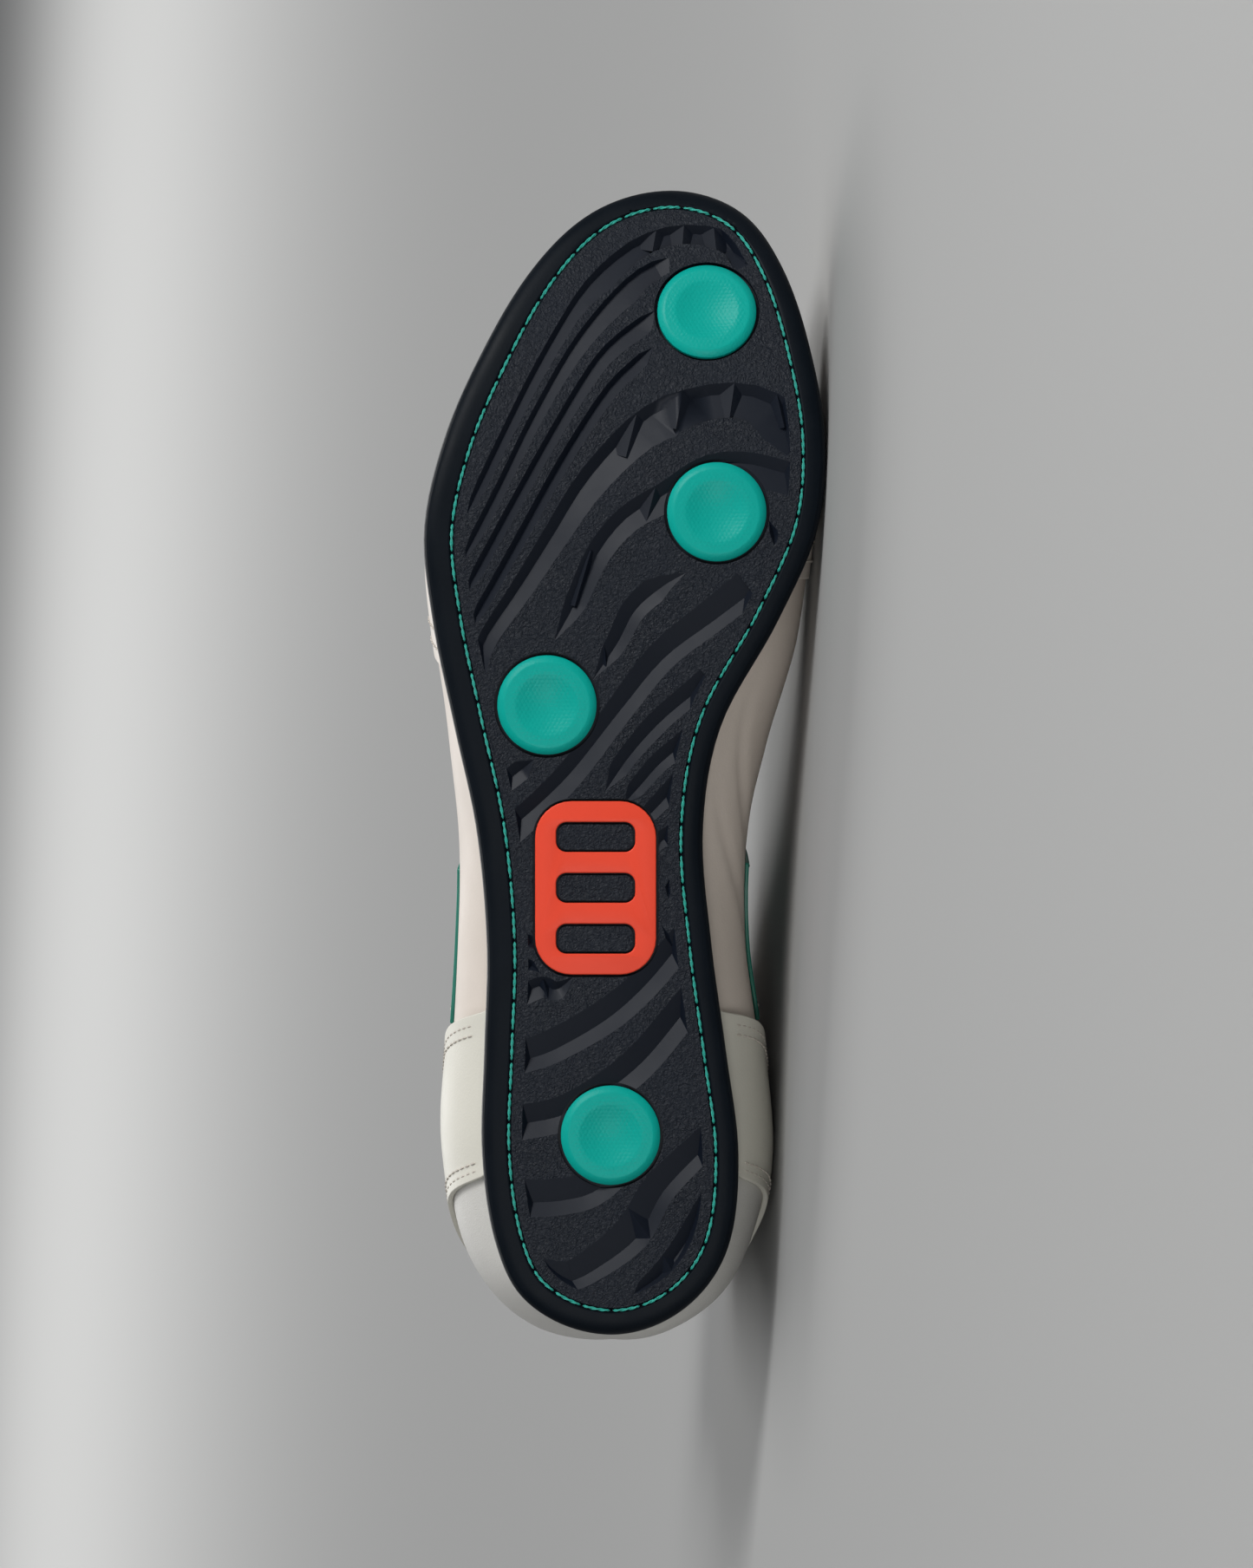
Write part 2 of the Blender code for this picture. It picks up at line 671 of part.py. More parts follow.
def shell(name, outer, inner, closed, material, collection):
    """A thin closed solid between two grids of rows, each row running the same way round."""
    rows, count = len(outer), len(outer[0])
    points = [p for row in outer for p in row] + [p for row in inner for p in row]
    half = rows * count
    faces = []
    steps = count if closed else count - 1
    for r in range(rows - 1):
        for i in range(steps):
            j = (i + 1) % count
            a, b = r * count, (r + 1) * count
            faces.append((a + i, a + j, b + j, b + i))
            faces.append((half + a + i, half + b + i, half + b + j, half + a + j))
    for i in range(steps):
        j = (i + 1) % count
        faces.append((i, half + i, half + j, j))
        a = (rows - 1) * count
        faces.append((a + i, a + j, half + a + j, half + a + i))
    if not closed:
        for r in range(rows - 1):
            for i in (0, count - 1):
                a, b = r * count + i, (r + 1) * count + i
                faces.append((a, b, half + b, half + a))
    mesh = mesh_from(name, points, faces, merge=True)
    return new_object(name, mesh, material, collection)


def upper(material, collection):
    """The hollow upper, open at collar and throat, and underneath where the sole closes it."""
    places = loop_places(UPPER_COLUMNS)
    outer, inner = [], []
    for r in range(UPPER_ROWS + 1):
        outer.append([wall_grid()[k][1][r][0] for k in range(UPPER_COLUMNS)])
        inner.append([])
        for k, s in enumerate(places):
            total, marks = wall_grid()[k]
            point, normal = marks[r]
            share = row_lengths(total)[r] / total
            inner[-1].append(point - normal * wall_thickness(s, share))
    return shell("upper", outer, inner, True, material, collection)


def overlay(name, places, material, collection, closed=False):
    """A leather overlay on the upper. Places is a grid of (place on the loop, wall share)."""
    low, high = OVERLAY_GAP, OVERLAY_GAP + OVERLAY_THICKNESS
    outer = [[wall_point(s, share, high) for s, share in row] for row in places]
    inner = [[wall_point(s, share, low) for s, share in row] for row in places]
    return shell(name, outer, inner, closed, material, collection)


def band_places(edges, columns):
    """The grid of an overlay between two edges, on the upper's own columns and rows.

    Rows below or above the band fall onto its edge, where the shell merges them.
    """
    rows = [[] for _ in range(UPPER_ROWS + 1)]
    for column_place in columns:
        s = column_place * 2 / UPPER_COLUMNS
        total = wall_length(s)
        low = max(blend_rows(edges, 1, abs(s)), STRAP_FOOT / total)
        high = blend_rows(edges, 2, abs(s))
        for row, length in zip(rows, row_lengths(total)):
            row.append((s, min(max(length / total, low), high)))
    return rows


def eyestay_places():
    """The grid of the horseshoe round the throat, measured down from the top edge."""
    step = 2 / UPPER_COLUMNS
    count = round((2 - 2 * EYESTAY_ENDS) / step)
    rows = []
    for k in range(3):
        row = []
        for i in range(count + 1):
            s = EYESTAY_ENDS + i * step
            down = EYESTAY_MARGIN + (EYESTAY_WIDTH - EYESTAY_MARGIN) * (1 - k / 2)
            row.append((s, 1 - down / wall_length(s)))
        rows.append(row)
    return rows


def inside_point(s, down, gap):
    """A point under the wall's inner face, a distance down from the top edge."""
    share = 1 - down / wall_length(s)
    return wall_point(s, share, -(wall_thickness(s, share) + gap))


def tongue(material, collection):
    """The padded tongue: tucked under both edges of the throat and standing over the collar."""
    step = 2 / UPPER_COLUMNS
    first, last = round(TONGUE_TOP / step), round(TONGUE_TOE / step)
    outer, inner = [], []
    for k in range(last, first - 1, -1):
        s = k * step
        hands = (s, s, s, 2 - s, 2 - s, 2 - s)
        downs = (TONGUE_TUCK, TONGUE_TUCK / 2, 0, 0, TONGUE_TUCK / 2, TONGUE_TUCK)
        normal = (wall_normal(s, 1) + wall_normal(2 - s, 1)).normalized()
        row, under = [], []
        for hand, down in zip(hands, downs):
            row.append(inside_point(hand, down, TONGUE_GAP))
            lean = (normal + wall_normal(hand, 1 - down / wall_length(hand))).normalized()
            under.append(row[-1] - lean * TONGUE_THICKNESS)
        lift = TONGUE_CROWN * min((row[2] - row[3]).length / THROAT_WIDTH, 1)
        middle = (row[2] + row[3]) / 2 + normal * lift
        outer.append([*row[:3], middle, *row[3:]])
        inner.append([*under[:3], middle - normal * TONGUE_THICKNESS, *under[3:]])
    climb = (outer[-1][3] - outer[-3][3]).normalized()
    for part in (0.5, 1.0):
        reach = climb * TONGUE_RISE * part + Vector((0, 0.1 * TONGUE_RISE * part, 0))
        outer.append([p + reach for p in outer[-1]])
        inner.append([p + reach for p in inner[-1]])
    return shell("tongue", outer, inner, False, material, collection)


def lace_path(row, next_row, sign, lift):
    """A lace's centre line from one eyelet, over the throat, to the eyelet across it."""
    low, high = LACED_SPAN

    def place(k):
        return high + (low - high) * k / (EYELET_PAIRS - 1)

    marks = []
    ends = ((row, sign), (next_row, -sign))
    downs = (EYELET_INSET, 0.0)
    for k, (at, hand) in enumerate(ends):
        for i, down in enumerate(downs if k == 0 else reversed(downs)):
            share = (i if k == 0 else 3 + i) / 4
            s = place(row + (next_row - row) * share)
            s = s if hand > 0 else 2 - s
            out = OVERLAY_GAP + OVERLAY_THICKNESS + SEAT_GAP + LACE_THICKNESS / 2 + lift
            height = 1 - down / wall_length(s)
            marks.append((wall_point(s, height, out), wall_normal(s, height)))
    middle = (marks[1][0] + marks[2][0]) / 2
    normal = (marks[1][1] + marks[2][1]).normalized()
    marks.insert(2, (middle + normal * LACE_CROWN, normal))
    return marks


def lace_bar(name, marks, material, collection):
    """A flat lace along a path of points with their normals."""
    half_width, half_thick = LACE_WIDTH / 2, LACE_THICKNESS / 2
    section = ((1, -0.6), (0.6, 1), (-0.6, 1), (-1, -0.6))
    sides = len(section)
    points, rings = [], []
    last = len(marks) - 1
    for i, (here, normal) in enumerate(marks):
        along = (marks[min(i + 1, last)][0] - marks[max(i - 1, 0)][0]).normalized()
        normal = (normal - along * normal.dot(along)).normalized()
        flat = along.cross(normal)
        if i in (0, last):
            here = here + along * (-1 if i == 0 else 1) * LACE_WIDTH * 0.35
        rings.append(len(points))
        for across, up in section:
            points.append(here + flat * across * half_width + normal * up * half_thick)
    faces = ring_faces(rings, sides)
    faces += [tuple(range(sides)), tuple(rings[-1] + k for k in range(sides))]
    return new_object(name, mesh_from(name, points, faces), material, collection)


def laces(material, collection, bars):
    """The criss-cross lacing: the first straight bar with every crossing bar joined to it."""
    first = lace_bar("laces", lace_path(0, 0, 1, 0), material, collection)
    for k in range(EYELET_PAIRS - 1):
        for sign in (1, -1):
            name = f"lace_bar_{k}_{'outer' if sign > 0 else 'inner'}"
            lift = 0.9 * MM if sign > 0 else 0.3 * MM
            hide_helper(lace_bar(name, lace_path(k, k + 1, sign, lift), material, bars))
    modifier = first.modifiers.new("join", "BOOLEAN")
    modifier.operation = "UNION"
    modifier.solver = "EXACT"
    modifier.operand_type = "COLLECTION"
    modifier.collection = bars
    return first


def finish(name, colour, roughness, metallic=0.0):
    material = bpy.data.materials.new(name)
    material.use_nodes = True
    shader = material.node_tree.nodes["Principled BSDF"]
    shader.inputs["Base Color"].default_value = (*colour, 1)
    shader.inputs["Roughness"].default_value = roughness
    shader.inputs["Metallic"].default_value = metallic
    return material


def mass_centre(objects):
    """The boot's centre of mass in its own frame, from its closed meshes and densities."""
    graph = bpy.context.evaluated_depsgraph_get()
    total, moment = 0.0, Vector((0, 0, 0))
    for obj in objects:
        evaluated = obj.evaluated_get(graph)
        mesh = evaluated.to_mesh()
        mesh.calc_loop_triangles()
        place = obj.matrix_world
        density = DENSITY.get(obj.name, OTHER_DENSITY)
        for triangle in mesh.loop_triangles:
            a, b, c = (place @ mesh.vertices[v].co for v in triangle.vertices)
            weight = a.dot(b.cross(c)) / 6 * density
            total += weight
            moment += weight * (a + b + c) / 4
        evaluated.to_mesh_clear()
    return moment / total


def lying_matrix(objects):
    """Lays the boot on its inner side: the hull face under the centre of mass meets the floor."""
    centre = mass_centre(objects)
    graph = bpy.context.evaluated_depsgraph_get()
    work = bmesh.new()
    for obj in objects:
        evaluated = obj.evaluated_get(graph)
        for vertex in evaluated.to_mesh().vertices:
            work.verts.new(obj.matrix_world @ vertex.co)
        evaluated.to_mesh_clear()
    hull = bmesh.ops.convex_hull(work, input=work.verts)
    best, down = None, Vector((-1, 0, 0))
    for face in hull["geom"]:
        if not isinstance(face, bmesh.types.BMFace):
            continue
        normal = face.normal.copy()
        if normal.dot(face.calc_center_median() - centre) < 0:
            normal = -normal
        if normal.x > -0.9:
            continue
        foot = centre + normal * normal.dot(face.verts[0].co - centre)
        inside = bmesh.geometry.intersect_face_point(face, foot)
        if inside and (best is None or normal.x < best):
            best, down = normal.x, normal
    work.free()
    up = -down
    toe = (Vector((0, 1, 0)) - up * up.y).normalized()
    turn = Matrix((toe, up.cross(toe), up)).to_4x4()
    return turn


def settle(empty, objects, turn):
    """Turns the empty, then moves it so the boot stands on the floor, centred on the origin."""
    graph = bpy.context.evaluated_depsgraph_get()
    corners = []
    for obj in objects:
        evaluated = obj.evaluated_get(graph)
        corners += [turn @ (obj.matrix_world @ v.co) for v in evaluated.to_mesh().vertices]
        evaluated.to_mesh_clear()
    low = [min(c[i] for c in corners) for i in range(3)]
    high = [max(c[i] for c in corners) for i in range(3)]
    shift = Vector((-(low[0] + high[0]) / 2, -(low[1] + high[1]) / 2, -low[2]))
    empty.matrix_world = Matrix.Translation(shift) @ turn


def main():
    for old in list(bpy.data.objects):
        bpy.data.objects.remove(old)
    scene = bpy.context.scene.collection
    boot = bpy.data.collections.new("wrestling_boot")
    cutters = bpy.data.collections.new("sole_cutters")
    bars = bpy.data.collections.new("lace_bars")
    for collection in (boot, cutters, bars):
        scene.children.link(collection)

    rubber = finish("sole_rubber", (0.018, 0.021, 0.028), 0.55)
    teal = finish("teal_rubber", (0.003, 0.32, 0.26), 0.4)
    orange = finish("orange_rubber", (0.78, 0.07, 0.025), 0.5)
    leather = finish("cream_leather", (0.66, 0.60, 0.53), 0.5)
    strap_leather = finish("strap_leather", (0.68, 0.66, 0.58), 0.5)
    green = finish("green_synthetic", (0.004, 0.17, 0.12), 0.45)
    lining = finish("lining", (0.5, 0.48, 0.45), 0.8)
    foam = finish("insole_foam", (0.05, 0.055, 0.065), 0.9)
    cord = finish("lace_cord", (0.62, 0.6, 0.56), 0.8)

    pieces = []
    sole = outsole(rubber, boot, cutters)
    pieces.append(sole)
    for name, share, across in DISCS:
        pieces.append(grip_disc(name, share, across, teal, boot, cutters))
    pieces.append(arch_badge(orange, boot, cutters))
    lift = SOLE_THICKNESS + SEAT_GAP
    edge = LIP_WALL + SEAT_GAP + UPPER_WALL + 2 * SEAT_GAP
    pieces.append(
        plate("insole", ((edge, lift), (edge, lift + INSOLE_THICKNESS)), foam, boot)
    )
    pieces.append(upper(leather, boot))
    inner_half = [-place for place in reversed(STRAP_COLUMNS)]
    strap = band_places(STRAP_EDGES, [*inner_half, 0, *STRAP_COLUMNS])
    pieces.append(overlay("heel_strap", strap, strap_leather, boot))
    panel = band_places(PANEL_EDGES, PANEL_COLUMNS)
    pieces.append(overlay("side_panel_outer", panel, green, boot))
    panel = band_places(PANEL_EDGES, [-place for place in reversed(PANEL_COLUMNS)])
    pieces.append(overlay("side_panel_inner", panel, green, boot))
    pieces.append(overlay("eyestay", eyestay_places(), strap_leather, boot))
    pieces.append(tongue(lining, boot))
    pieces.append(laces(cord, boot, bars))

    bpy.context.view_layer.update()
    holder = bpy.data.objects.new("boot_lying", None)
    boot.objects.link(holder)
    turn = lying_matrix(pieces)
    settle(holder, pieces, turn)
    for obj in pieces:
        obj.parent = holder
    for helper in [*cutters.objects, *bars.objects]:
        helper.parent = holder


main()
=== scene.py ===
"""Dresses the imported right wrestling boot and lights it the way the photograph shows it.

The boot is shaped in its own frame (X to the outer side, Y to the toe, Z up from the tread,
in metres) and laid on its inner side by one matrix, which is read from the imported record.
"""

import json
import logging
import math
from collections.abc import Iterator
from contextlib import contextmanager
from dataclasses import dataclass, field
from enum import Enum

import bmesh
import bpy
import numpy as np
from mathutils import Matrix, Vector
from mathutils.geometry import delaunay_2d_cdt


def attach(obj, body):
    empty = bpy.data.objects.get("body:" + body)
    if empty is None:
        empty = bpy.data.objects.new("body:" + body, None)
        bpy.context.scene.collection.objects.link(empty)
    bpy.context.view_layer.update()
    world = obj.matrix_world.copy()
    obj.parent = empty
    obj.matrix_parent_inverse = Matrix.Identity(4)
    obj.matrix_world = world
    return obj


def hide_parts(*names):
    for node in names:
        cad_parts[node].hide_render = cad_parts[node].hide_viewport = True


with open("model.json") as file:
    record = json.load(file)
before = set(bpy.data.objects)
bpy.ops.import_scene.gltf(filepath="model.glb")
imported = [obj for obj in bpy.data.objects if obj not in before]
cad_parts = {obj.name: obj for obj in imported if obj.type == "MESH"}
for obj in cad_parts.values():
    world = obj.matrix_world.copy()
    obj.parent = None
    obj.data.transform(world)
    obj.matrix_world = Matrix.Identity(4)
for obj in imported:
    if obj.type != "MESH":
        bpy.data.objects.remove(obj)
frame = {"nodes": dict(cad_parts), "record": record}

LOG = logging.getLogger("wrestling_boot")
MM = 0.001
ROOT = "root"
FLOOR_PRESS = 1.5 * MM
BEVEL_ANGLE = 50.0
PATCH_BEVEL = 0.32 * MM

Array = np.ndarray
Table = tuple[tuple[float, ...], ...]
Triple = tuple[float, float, float]
Faces = list[tuple[int, ...]]


class Side(Enum):
    """The two sides of the boot, as the sign of X."""

    OUTER = 1
    INNER = -1


def smooth_step(value: Array) -> Array:
    """An S curve from 0 to 1 between 0 and 1."""
    t = np.clip(value, 0.0, 1.0)
    return t * t * (3 - 2 * t)


def bump(value: Array) -> Array:
    """A smooth hill of height 1 at 0 that ends at -1 and 1."""
    return np.where(np.abs(value) < 1, np.cos(np.clip(value, -1, 1) * math.pi / 2) ** 2, 0.0)


def blend_rows(rows: Array, column: int, at: Array, level_start: bool = False) -> Array:
    """One column of a table between its rows, on a smooth curve.

    Args:
        rows: The table, its first column rising.
        column: The column to read.
        at: The places to read it at, in the first column's unit.
        level_start: Whether the curve leaves its first row level, so that mirror halves meet
            without a corner.

    Returns:
        The values at those places.
    """
    x, y = rows[:, 0], rows[:, column]
    last = len(x) - 1
    low = np.maximum(np.arange(last + 1) - 1, 0)
    high = np.minimum(np.arange(last + 1) + 1, last)
    slope = (y[high] - y[low]) / (x[high] - x[low])
    slope[0] *= not level_start
    k = np.clip(np.searchsorted(x[1:last], at, side="left"), 0, last - 1)
    span = x[k + 1] - x[k]
    t = (at - x[k]) / span
    return (
        y[k] * (2 * t**3 - 3 * t**2 + 1)
        + y[k + 1] * (3 * t**2 - 2 * t**3)
        + slope[k] * span * (t**3 - 2 * t**2 + t)
        + slope[k + 1] * span * (t**3 - t**2)
    )


def lengths_along(line: Array) -> Array:
    """The length along a line at each of its points, from 0."""
    return np.concatenate([[0], np.cumsum(np.linalg.norm(np.diff(line, axis=0), axis=1))])


def read_along(at: Array, lengths: Array, line: Array) -> Array:
    """Points of a line at given lengths along it."""
    return np.stack([np.interp(at, lengths, line[:, i]) for i in range(line.shape[1])], 1)


def full_turn(count: int) -> Array:
    """Evenly spaced angles of one full turn."""
    return np.linspace(0, 2 * math.pi, count, endpoint=False)


def round_boot(count: int) -> Array:
    """Evenly spaced places round the boot."""
    return np.arange(count) * 2 / count


def curve_through(knots: Array, steps: int) -> Array:
    """A smooth open curve through points, evenly spaced along its length.

    Args:
        knots: The points, one row each.
        steps: How many spans the result has.

    Returns:
        steps + 1 points.
    """
    knots = np.asarray(knots, float)
    ends = np.vstack([2 * knots[0] - knots[1], knots, 2 * knots[-1] - knots[-2]])
    fine = []
    for p0, p1, p2, p3 in zip(ends, ends[1:], ends[2:], ends[3:]):
        t = np.linspace(0, 1, 17)[:-1, None]
        fine.append(
            0.5
            * (
                2 * p1
                + (p2 - p0) * t
                + (2 * p0 - 5 * p1 + 4 * p2 - p3) * t**2
                + (3 * p1 - p0 - 3 * p2 + p3) * t**3
            )
        )
    fine.append(knots[-1:])
    line = np.vstack(fine)
    lengths = lengths_along(line)
    return read_along(np.linspace(0, lengths[-1], steps + 1), lengths, line)


def unit(vectors: Array) -> Array:
    """Vectors of length 1 in the same directions."""
    return vectors / np.maximum(np.linalg.norm(vectors, axis=-1, keepdims=True), 1e-12)


@dataclass(frozen=True)
class BootPlace:
    """Where the boot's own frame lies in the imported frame."""

    tread_mount: Triple = (0.0, 72 * MM, 0.0)

    def matrix(self) -> Matrix:
        """The matrix that lays the boot down, from the record's tread and footbed mounts.

        Returns:
            A matrix from the boot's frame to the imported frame.
        """
        mounts = {mount["name"]: mount for mount in frame["record"]["mounts"]}
        rise = Vector(mounts["footbed"]["axis"]).normalized()
        toe = Vector((1.0, 0.0, -rise.x / rise.z)).normalized()
        outer = toe.cross(rise)
        turn = Matrix((outer, toe, rise)).transposed()
        shift = Vector(mounts["tread"]["pos_m"]) - turn @ Vector(self.tread_mount)
        return Matrix.Translation(shift) @ turn.to_4x4()


LAY = BootPlace().matrix()


@dataclass(frozen=True)
class Last:
    """The boot's driving sizes, with the curves of its sole and upper.

    A place s runs round the boot: 0 at the heel, 1 at the toe on the outer side, and on to 2
    at the heel again on the inner side.
    """

    sole_length: float = 285 * MM
    ball_width: float = 99.7 * MM
    sole_thickness: float = 6 * MM
    lip_height: float = 3.4 * MM
    lip_wall: float = 1.9 * MM
    toe_spring: float = 23 * MM
    heel_lift: float = 1.2 * MM
    arch_lift: float = 1 * MM
    collar_height: float = 142 * MM
    instep_height: float = 69 * MM
    collar_width: float = 66 * MM
    collar_length: float = 100 * MM
    throat_start: float = 171 * MM
    throat_width: float = 22 * MM
    wall: float = 2 * MM
    collar_padding: float = 1.6 * MM
    seat_gap: float = 0.3 * MM
    flare_height: float = 27 * MM
    flare_start: float = 4.4 * MM
    flare_limit: float = 0.5
    waist_start: float = 0.3
    waist_reach: float = 0.7
    heel_share: float = 0.06
    arch_start: float = 0.26
    arch_reach: float = 0.26
    spring_start: float = 0.68
    spring_reach: float = 0.32
    normal_step: float = 0.004
    sections: Table = (
        (0.00, 0.000, 0.000, 2.0 * MM, 2.0 * MM),
        (0.03, 0.214, 0.206, 5.0 * MM, 4.0 * MM),
        (0.08, 0.288, 0.294, 7.5 * MM, 4.8 * MM),
        (0.16, 0.322, 0.316, 8.8 * MM, 7.0 * MM),
        (0.25, 0.316, 0.284, 8.6 * MM, 8.2 * MM),
        (0.34, 0.310, 0.249, 8.0 * MM, 9.2 * MM),
        (0.44, 0.336, 0.228, 5.8 * MM, 11.8 * MM),
        (0.53, 0.391, 0.273, 3.2 * MM, 13.0 * MM),
        (0.62, 0.444, 0.413, 1.8 * MM, 7.6 * MM),
        (0.70, 0.466, 0.512, 0.8 * MM, 0.6 * MM),
        (0.78, 0.416, 0.532, 0.6 * MM, 0.0 * MM),
        (0.86, 0.317, 0.495, 1.0 * MM, 0.0 * MM),
        (0.93, 0.197, 0.429, 1.0 * MM, 0.0 * MM),
        (0.98, 0.049, 0.326, 0.4 * MM, 0.0 * MM),
        (1.00, -0.150, 0.150, 0.0 * MM, 0.0 * MM),
    )
    top_rows: Table = (
        (0.00, 0.00, 0.03, 1.02),
        (0.10, 0.62, 0.13, 0.99),
        (0.19, 0.95, 0.34, 0.91),
        (0.28, 0.97, 0.60, 0.89),
        (0.36, 0.74, 0.86, 0.96),
        (0.42, 0.50, 1.02, 0.95),
        (0.47, 0.40, 1.20, 0.66),
        (0.54, 0.36, 1.49, 0.31),
        (0.62, 0.33, 1.78, 0.06),
        (0.72, 0.25, 1.93, -0.02),
        (0.86, 0.13, 1.99, -0.05),
        (1.00, 0.00, 2.00, -0.06),
    )
    wall_rows: Table = (
        (0.00, 0.50, 2.0, 6.0 * MM),
        (0.15, 0.50, 2.0, 3.0 * MM),
        (0.30, 0.50, 2.0, 0.5 * MM),
        (0.45, 0.62, 2.0, 0.0 * MM),
        (0.60, 0.86, 2.2, 0.0 * MM),
        (0.75, 0.80, 2.6, 0.0 * MM),
        (0.90, 0.76, 3.2, 0.0 * MM),
        (1.00, 0.74, 3.4, 0.0 * MM),
    )

    def place(self, s: Array) -> tuple[Array, Array]:
        """Splits places on the loop into the place along one side and the side's sign."""
        s = np.asarray(s, float) % 2
        return np.where(s <= 1, s, 2 - s), np.where(s <= 1, 1.0, -1.0)

    def section(self, s: Array, outer: int, inner: int) -> Array:
        """Reads the section table: one column on the outer side, another on the inner.

        Args:
            s: Places on the loop round the boot.
            outer: The outer side's column.
            inner: The inner side's column.

        Returns:
            The values at those places.
        """
        rows = np.array(self.sections)
        rows[:, 0] = np.arccos(1 - 2 * rows[:, 0])
        along, sign = self.place(s)
        angle = math.pi * along
        return np.where(
            sign > 0, blend_rows(rows, outer, angle), blend_rows(rows, inner, angle)
        )

    def outline(self, s: Array) -> Array:
        """Points of the sole's outline, as seen from above.

        Args:
            s: Places on the loop round the boot.

        Returns:
            The points, two numbers each.
        """
        along, sign = self.place(s)
        half = self.section(s, 1, 2) * self.ball_width
        return np.stack(
            [sign * half, self.sole_length * (1 - np.cos(math.pi * along)) / 2], -1
        )

    def outward(self, s: Array) -> Array:
        """The outline's outward unit normals.

        Args:
            s: Places on the loop round the boot.

        Returns:
            The normals, two numbers each.
        """
        s, step = np.asarray(s), self.normal_step
        along = self.outline(s + step) - self.outline(s - step)
        return unit(np.stack([along[..., 1], -along[..., 0]], -1))

    def inset(self, s: Array, distance: Array | float) -> Array:
        """Points inside the outline by a distance."""
        return self.outline(s) - self.outward(s) * np.asarray(distance)[..., None]

    def tread_z(self, y: Array) -> Array:
        """Height of the tread over the ground: heel lift, arch and toe spring.

        Args:
            y: Distances from the heel.

        Returns:
            The heights.
        """
        share = np.asarray(y) / self.sole_length
        heel = self.heel_lift * np.maximum(0.0, 1 - share / self.heel_share) ** 2
        under_arch = np.clip((share - self.arch_start) / self.arch_reach, 0, 1)
        arch = self.arch_lift * np.sin(math.pi * under_arch) ** 2
        past = np.maximum(0.0, share - self.spring_start) / self.spring_reach
        return heel + arch + self.toe_spring * past**2

    def top_edge(self, s: Array) -> Array:
        """Points of the upper's top edge: collar, throat and the throat's round start.

        Args:
            s: Places on the loop round the boot.

        Returns:
            The points.
        """
        along, sign = self.place(s)
        rows = np.array(self.top_rows)
        half = blend_rows(rows, 1, along) * self.collar_width / 2
        forward = blend_rows(rows, 2, along, True)
        throat = self.throat_start - self.collar_length
        y = np.where(
            forward <= 1,
            forward * self.collar_length,
            self.collar_length + (forward - 1) * throat,
        )
        rise = self.collar_height - self.instep_height
        z = self.instep_height + blend_rows(rows, 3, along, True) * rise
        return np.stack([sign * half, y, z], -1)

    def columns(self, s: Array, steps: int = 96) -> Array:
        """Lines up the upper's outer face, from the sole to the top edge.

        Args:
            s: The places of the columns.
            steps: How many spans each has.

        Returns:
            The points, as columns by steps + 1 by 3.
        """
        along, _ = self.place(s)
        foot = self.inset(s, self.lip_wall + self.seat_gap)
        out = self.outward(s)
        top = self.top_edge(s)
        base = self.tread_z(foot[:, 1]) + self.sole_thickness + self.seat_gap
        height = (top[:, 2] - base)[:, None]
        rows = np.array(self.wall_rows)
        steep, square, hollow = (blend_rows(rows, i, along)[:, None] for i in (1, 2, 3))
        flare = self.lip_wall + self.seat_gap + self.section(s, 3, 4)[:, None]
        turn = np.linspace(0, math.pi / 2, steps + 1)[None, :]
        inward = 1 - np.maximum(np.cos(turn), 0) ** (2 / square)
        rise = steep * np.sin(turn) ** (2 / square) + (1 - steep) * inward
        up = rise * height
        peak = np.minimum(self.flare_height, self.flare_limit * height)
        climb = np.clip((up - self.flare_start) / (peak - self.flare_start), 0, 1)
        swell = np.sin(math.pi / 2 * climb) * (1 - smooth_step((up - peak) / (height - peak)))
        above = smooth_step((rise - self.waist_start) / self.waist_reach)
        waist = np.sin(math.pi * above) ** 2
        shift = (top[:, :2] - foot)[:, None, :]
        flat = (
            foot[:, None, :]
            + shift * inward[..., None]
            + out[:, None, :] * (flare * swell - hollow * waist)[..., None]
        )
        return np.concatenate([flat, (base[:, None] + up)[..., None]], -1)


LAST = Last()


@dataclass(frozen=True)
class Crease:
    """One crease of the upper, pressed in along a line between two marks of the wall."""

    start: tuple[float, float]
    end: tuple[float, float]
    width: float
    depth: float
    wander: float = 0.18
    wander_rate: float = 5.0
    taper: float = 1.9
    furrow: float = 1.3
    roll: float = 0.45
    roll_reach: float = 2.6

    def push(self, s: Array, share: Array) -> Array:
        """How far the crease moves the wall: a furrow with a soft roll on both sides.

        Args:
            s: Places on the loop round the boot.
            share: Shares of the wall's height.

        Returns:
            The distances out from the wall.
        """
        ax, ay = self.start
        bx, by = self.end
        dx, dy = bx - ax, by - ay
        length = math.hypot(dx, dy)
        along = ((s - ax) * dx + (share - ay) * dy) / length**2
        away = ((s - ax) * dy - (share - ay) * dx) / length
        away = away + self.wander * self.width * np.sin(along * self.wander_rate + ax * 40)
        fade = bump((along - 0.5) * self.taper)
        near = away / self.width
        rolled = self.roll * bump(near / self.roll_reach)
        return self.depth * fade * (rolled - self.furrow * bump(near))


